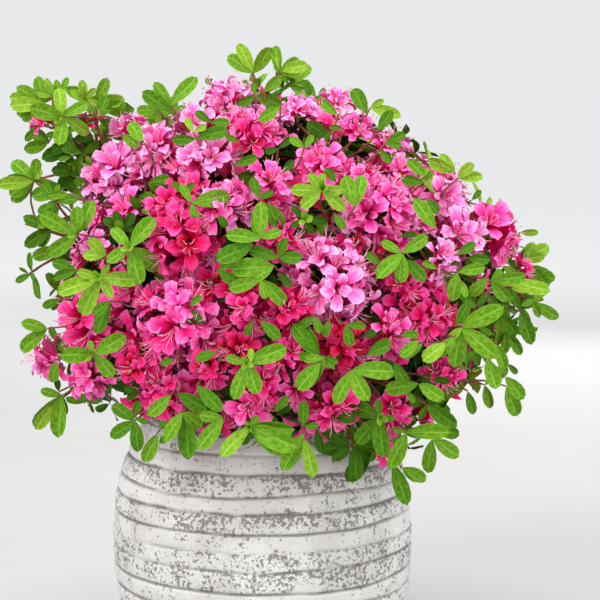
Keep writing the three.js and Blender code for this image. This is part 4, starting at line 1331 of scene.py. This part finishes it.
def makeBark():
    nodes = [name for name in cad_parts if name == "trunk" or name.startswith("bough_")]
    bm = bmesh.new()
    for name in nodes:
        bm.from_mesh(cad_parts[name].data)
    bmesh.ops.remove_doubles(bm, verts=bm.verts[:], dist=mergeDistance)
    bmesh.ops.subdivide_edges(bm, edges=bm.edges[:], cuts=barkSettings["cuts"], use_grid_fill=True,
                              smooth=barkSettings["smooth"])
    bmesh.ops.triangulate(bm, faces=bm.faces[:])
    bm.normal_update()
    for vert in bm.verts:
        coarse = noise.noise(vert.co * barkSettings["coarse"])
        x, y, z = vert.co * barkSettings["fine"]
        fine = noise.noise((x, y, z * barkSettings["stretch"]))
        vert.co += vert.normal * (0.5 * coarse + 0.5 * fine) * barkSettings["relief"] * mm
    finish = grainFinish("bark", "bark", (74, 52, 38), (142, 112, 86))
    finished(newObject("bark", meshFrom(bm, "bark")), finish, nodes)


makeBark()


# Soil: a low mound with crumbs

soilSettings = {
    "middle": 219, "edge": 212, "radius": 103.6, "under": 203, "rings": 34, "turns": 110,
    "relief": 2.2, "coarse": 90, "fine": 300, "crumbs": 700, "crumbSizes": (1.6, 4.6), "seed": 5,
}


def soilHeight(level):
    return soilSettings["middle"] + (soilSettings["edge"] - soilSettings["middle"]) * level ** 2


def makeSoil():
    radius, rings, under = soilSettings["radius"], soilSettings["rings"], soilSettings["under"]
    points = [(radius * k / rings, soilHeight(k / rings)) for k in range(rings + 1)]
    bm = spunBody(points + [(radius, under), (0, under)], soilSettings["turns"])
    for vert in bm.verts:
        if vert.co.z > (under + 3) * mm:
            level = math.hypot(vert.co.x, vert.co.y) / mm / radius
            coarse = noise.noise(vert.co * soilSettings["coarse"])
            fine = noise.noise(vert.co * soilSettings["fine"])
            vert.co.z += soilSettings["relief"] * mm * (coarse + 0.5 * fine) * (1 - level ** 6)
    draw = random.Random(soilSettings["seed"])
    for _ in range(soilSettings["crumbs"]):
        angle, level = draw.uniform(0, 2 * math.pi), math.sqrt(draw.random())
        away = level * (radius - 5)
        size = draw.uniform(*soilSettings["crumbSizes"])
        middle = Vector((away * math.cos(angle), away * math.sin(angle), soilHeight(level)))
        turn = Matrix.Rotation(draw.uniform(0, 6), 4, "X") @ Matrix.Rotation(draw.uniform(0, 6), 4, "Z")
        shape = Matrix.Diagonal((size * mm, size * mm * 0.7, size * mm * 0.6, 1))
        place = Matrix.Translation(middle * mm) @ turn @ shape
        bmesh.ops.create_icosphere(bm, subdivisions=1, radius=0.5, matrix=place)
    finish = grainFinish("potting soil", "soil", (26, 19, 14), (78, 58, 42))
    finished(newObject("soil_bed", meshFrom(bm, "soil_bed")), finish, ["soil"])


makeSoil()


# Pot: a barrel of uneven rings with grooves, their colour darkened as painted shade, pitted here and there

def potProfile():
    lip, rim, wall, top = (potSettings[key] for key in ("lip", "rimRadius", "wall", "height"))
    foot, floor = potSettings["footRadius"], potSettings["floor"]
    quarter = [math.pi / 2 * k / potSettings["lipSteps"] for k in range(potSettings["lipSteps"] + 1)]
    outer = [(lip * math.cos(angle), lip * math.sin(angle)) for angle in quarter]
    points = [(0, 0), (foot / 2, 0), (foot - 6, 0)]
    points += [(potRadius(height), height) for height in range(1, top - 2)]
    points += [(rim - lip + x, top - lip + z) for x, z in outer]
    points += [(rim - wall + lip - z, top - lip + x) for x, z in outer]
    points += [(potRadius(height) - wall, height) for height in potSettings["inside"]]
    return points + [(60, floor), (0, floor)]


def ringNoise(angle, key, turns):
    # smooth noise round the pot that closes on itself
    return noise.noise(Vector((math.cos(angle) * turns, math.sin(angle) * turns, key * 7.31)))


def grooveHeights(angle):
    return [groove + 3 * ringNoise(angle, k, 0.9) + 1.2 * ringNoise(angle, k + 40, 3.2)
            for k, groove in enumerate(potSettings["grooves"])]


def grooveStrengths(angle):
    strengths = []
    for k, strength in enumerate(potSettings["strengths"]):
        change = 1 + 0.9 * ringNoise(angle, k + 80, 1.3) + 0.5 * ringNoise(angle, k + 60, 6)
        strengths.append(min(1, max(0.1, strength * change)))
    return strengths


def potSeams(band, angle, level):
    # how deep a seam is here, and how far the rope's end stands proud beside it
    seam = side = 0
    for seamBand, azimuth in potSettings["seams"]:
        if seamBand == band:
            across = halfTurn(angle - math.radians(azimuth)) * level
            seam = max(seam, potSettings["seamDepth"] * math.exp(-(across / potSettings["seamWidth"]) ** 2))
            fade = math.exp(-(across / potSettings["seamFade"]) ** 2)
            side += potSettings["seamStep"] * math.tanh(across / 3) * fade
    return seam, side


def potRelief(away, level, angle, heights, strengths):
    # how far the surface stands out here, how dark it is painted in the grooves and seams (painted shade)
    # and above the grooves (painted shade with some dirt), and how pitted it is, from 0 to 1
    band = sum(1 for groove in heights if groove < away.z)
    lower = heights[band - 1] if band else 0
    upper = heights[band] if band < len(heights) else potSettings["height"]
    groove = 0
    for middle, strength in zip(heights, strengths):
        reach = potSettings["above" if away.z > middle else "below"]
        groove = max(groove, strength * math.exp(-((away.z - middle) / reach) ** 2))
    seam, side = potSeams(band, angle, level)
    flecked = potSettings["flecked"][band]
    # plain rings draw in towards the groove under them
    tuck = max(0, 1 - (away.z - lower) / potSettings["tuckHeight"]) ** 2
    tuck *= (1 - 0.6 * flecked) * (strengths[band - 1] if band else 0)
    ease = min(1, (away.z - lower) / potSettings["edge"], (upper - away.z) / potSettings["edge"])
    step = potSettings["bandStep"] * (1.4 * ringNoise(angle, band + 120, 0.8) + side) * ease
    fine = sum(height * noise.noise(away / size) for height, size in potSettings["lumps"])
    inBand = (away.z - lower) / (upper - lower)
    pitted = flecked * (0.78 + 0.32 * math.cos(angle - 0.26)) * (0.62 + 0.6 * inBand)
    pitted += 0.6 * noise.noise((angle * 2.2, away.z / 16, 3.3)) - 0.1
    pitted += 0.8 * noise.noise(away / potSettings["patches"])
    pitted = min(1, max(0, pitted))
    pit = max(0, noise.noise(away / potSettings["pits"]) - potSettings["pitsFrom"])
    pit *= potSettings["pitDepth"] * pitted
    # grooves run out towards the rim
    top = min(1, max(0, (potSettings["height"] - away.z) / potSettings["rimFade"]))
    faded = potSettings["faded"] + (1 - potSettings["faded"]) * top
    inward = potSettings["grooveDepth"] * max(groove, seam * 0.5) * faded
    outward = step + fine - inward - potSettings["tuck"] * tuck - pit
    # the second value is painted shade: dark in grooves and seams, and with some dirt where a ring tucks in
    # above a groove
    return outward, max(groove, seam * 0.8, 0.5 * tuck) * top, pitted


def potFinish():
    finish = Finish("weathered cement", Specular_IOR_Level=0.25)
    place = finish.objectPlace()
    groove, pitted = finish.attribute("groove"), finish.attribute("pitted")
    cloud = finish.noise(place, 14, 4, 0.6)
    sand = finish.noise(place, 900, 2, 0.6)
    flecks = (finish.noise(place, 300, 4, 0.62) + pitted * 0.14).between(0.635, 0.665)
    dots = (finish.noise(place, 620, 2, 0.5) + pitted * 0.1).between(0.66, 0.72)
    base = finish.blend(cloud.between(0.3, 0.7), (202, 199, 196), (227, 225, 222))
    # the last layer darkens grooves, seams and the tucks above grooves: painted shade, with some dirt above
    # the grooves
    layers = [
        ((sand - 0.35) * 0.4, (172, 168, 165)), (flecks * 0.85, (116, 111, 108)),
        (dots * 0.7, (132, 127, 124)), (groove.between(0.1, 1.0) * 0.84, (112, 108, 105)),
    ]
    height = sand * 0.25 + (1 - flecks) * 0.8 + (1 - dots) * 0.5
    return finish.surface(base, layers, 0.82 + sand * 0.15, height, 0.5, 0.0012)


def makePot():
    bm = spunBody(potProfile(), potSettings["turns"])
    grooveShadeMark = bm.verts.layers.float.new("groove")
    pitMark = bm.verts.layers.float.new("pitted")
    byTurn = {}
    for vert in bm.verts:
        away = vert.co / mm
        level = math.hypot(away.x, away.y)
        isInside = level < potRadius(min(away.z, potSettings["height"] - 1)) - 8
        if away.z < 1 or isInside:
            continue
        angle = math.atan2(away.x, -away.y)
        key = round(angle * 1000)
        if key not in byTurn:
            byTurn[key] = (grooveHeights(angle), grooveStrengths(angle))
        outward, vert[grooveShadeMark], vert[pitMark] = potRelief(away, level, angle, *byTurn[key])
        vert.co += Vector((vert.co.x, vert.co.y, 0)).normalized() * outward * mm
    finished(newObject("pot_shell", meshFrom(bm, "pot_shell")), potFinish(), ["pot"])


makePot()


# Floor and light

stageSettings = {"radius": 60, "sky": 0.87, "near": 1.0, "far": 4.5}

# name, place, height of the point it faces, size, watts, tint
lightTable = [
    ("key light", (-1.3, -1.7, 1.9), 0.32, 1.3, 41, (1, 1, 1)),
    ("fill light", (1.9, -1.5, 0.9), 0.3, 1.6, 22, (0.96, 0.98, 1)),
    ("top light", (0.1, 0.2, 2.3), 0.3, 1.8, 28, (1, 1, 1)),
    ("back light", (0.7, 2.1, 1.3), 0.3, 1.5, 17, (1, 1, 1)),
]


def makeFloor():
    bm = bmesh.new()
    bmesh.ops.create_circle(bm, cap_ends=True, segments=96, radius=stageSettings["radius"])
    floor = newObject("floor", meshFrom(bm, "floor"))
    finish = Finish("pale floor", Specular_IOR_Level=0.2, Roughness=0.9)
    place = finish.objectPlace()
    away = finish.node("ShaderNodeVectorMath", {"operation": "LENGTH"}, {0: place}, "Value")
    near = finish.blend(finish.noise(place, 3, 3), (182, 181, 180), (192, 191, 190))
    # paler where only the sky lights it, so that it meets the sky without an edge
    share = away.between(stageSettings["near"], stageSettings["far"])
    finish.set("Base Color", finish.blend(share, near, (255, 255, 255)))
    floor.data.materials.append(finish.material)


def addLight(name, place, aim, size, watts, tint):
    data = bpy.data.lights.new(name, "AREA")
    data.size = size
    data.energy = watts
    data.color = tint
    light = bpy.data.objects.new(name, data)
    light.location = place
    light.rotation_mode = "QUATERNION"
    light.rotation_quaternion = (Vector((0, 0, aim)) - Vector(place)).to_track_quat("-Z", "Y")
    bpy.context.scene.collection.objects.link(light)


makeFloor()
for row in lightTable:
    addLight(*row)

world = bpy.data.worlds.new("studio")
world.use_nodes = True
world.node_tree.nodes["Background"].inputs["Color"].default_value = (0.93, 0.94, 0.95, 1)
world.node_tree.nodes["Background"].inputs["Strength"].default_value = stageSettings["sky"]
bpy.context.scene.world = world
bpy.context.scene.view_settings.view_transform = "Standard"
print("stage lit")
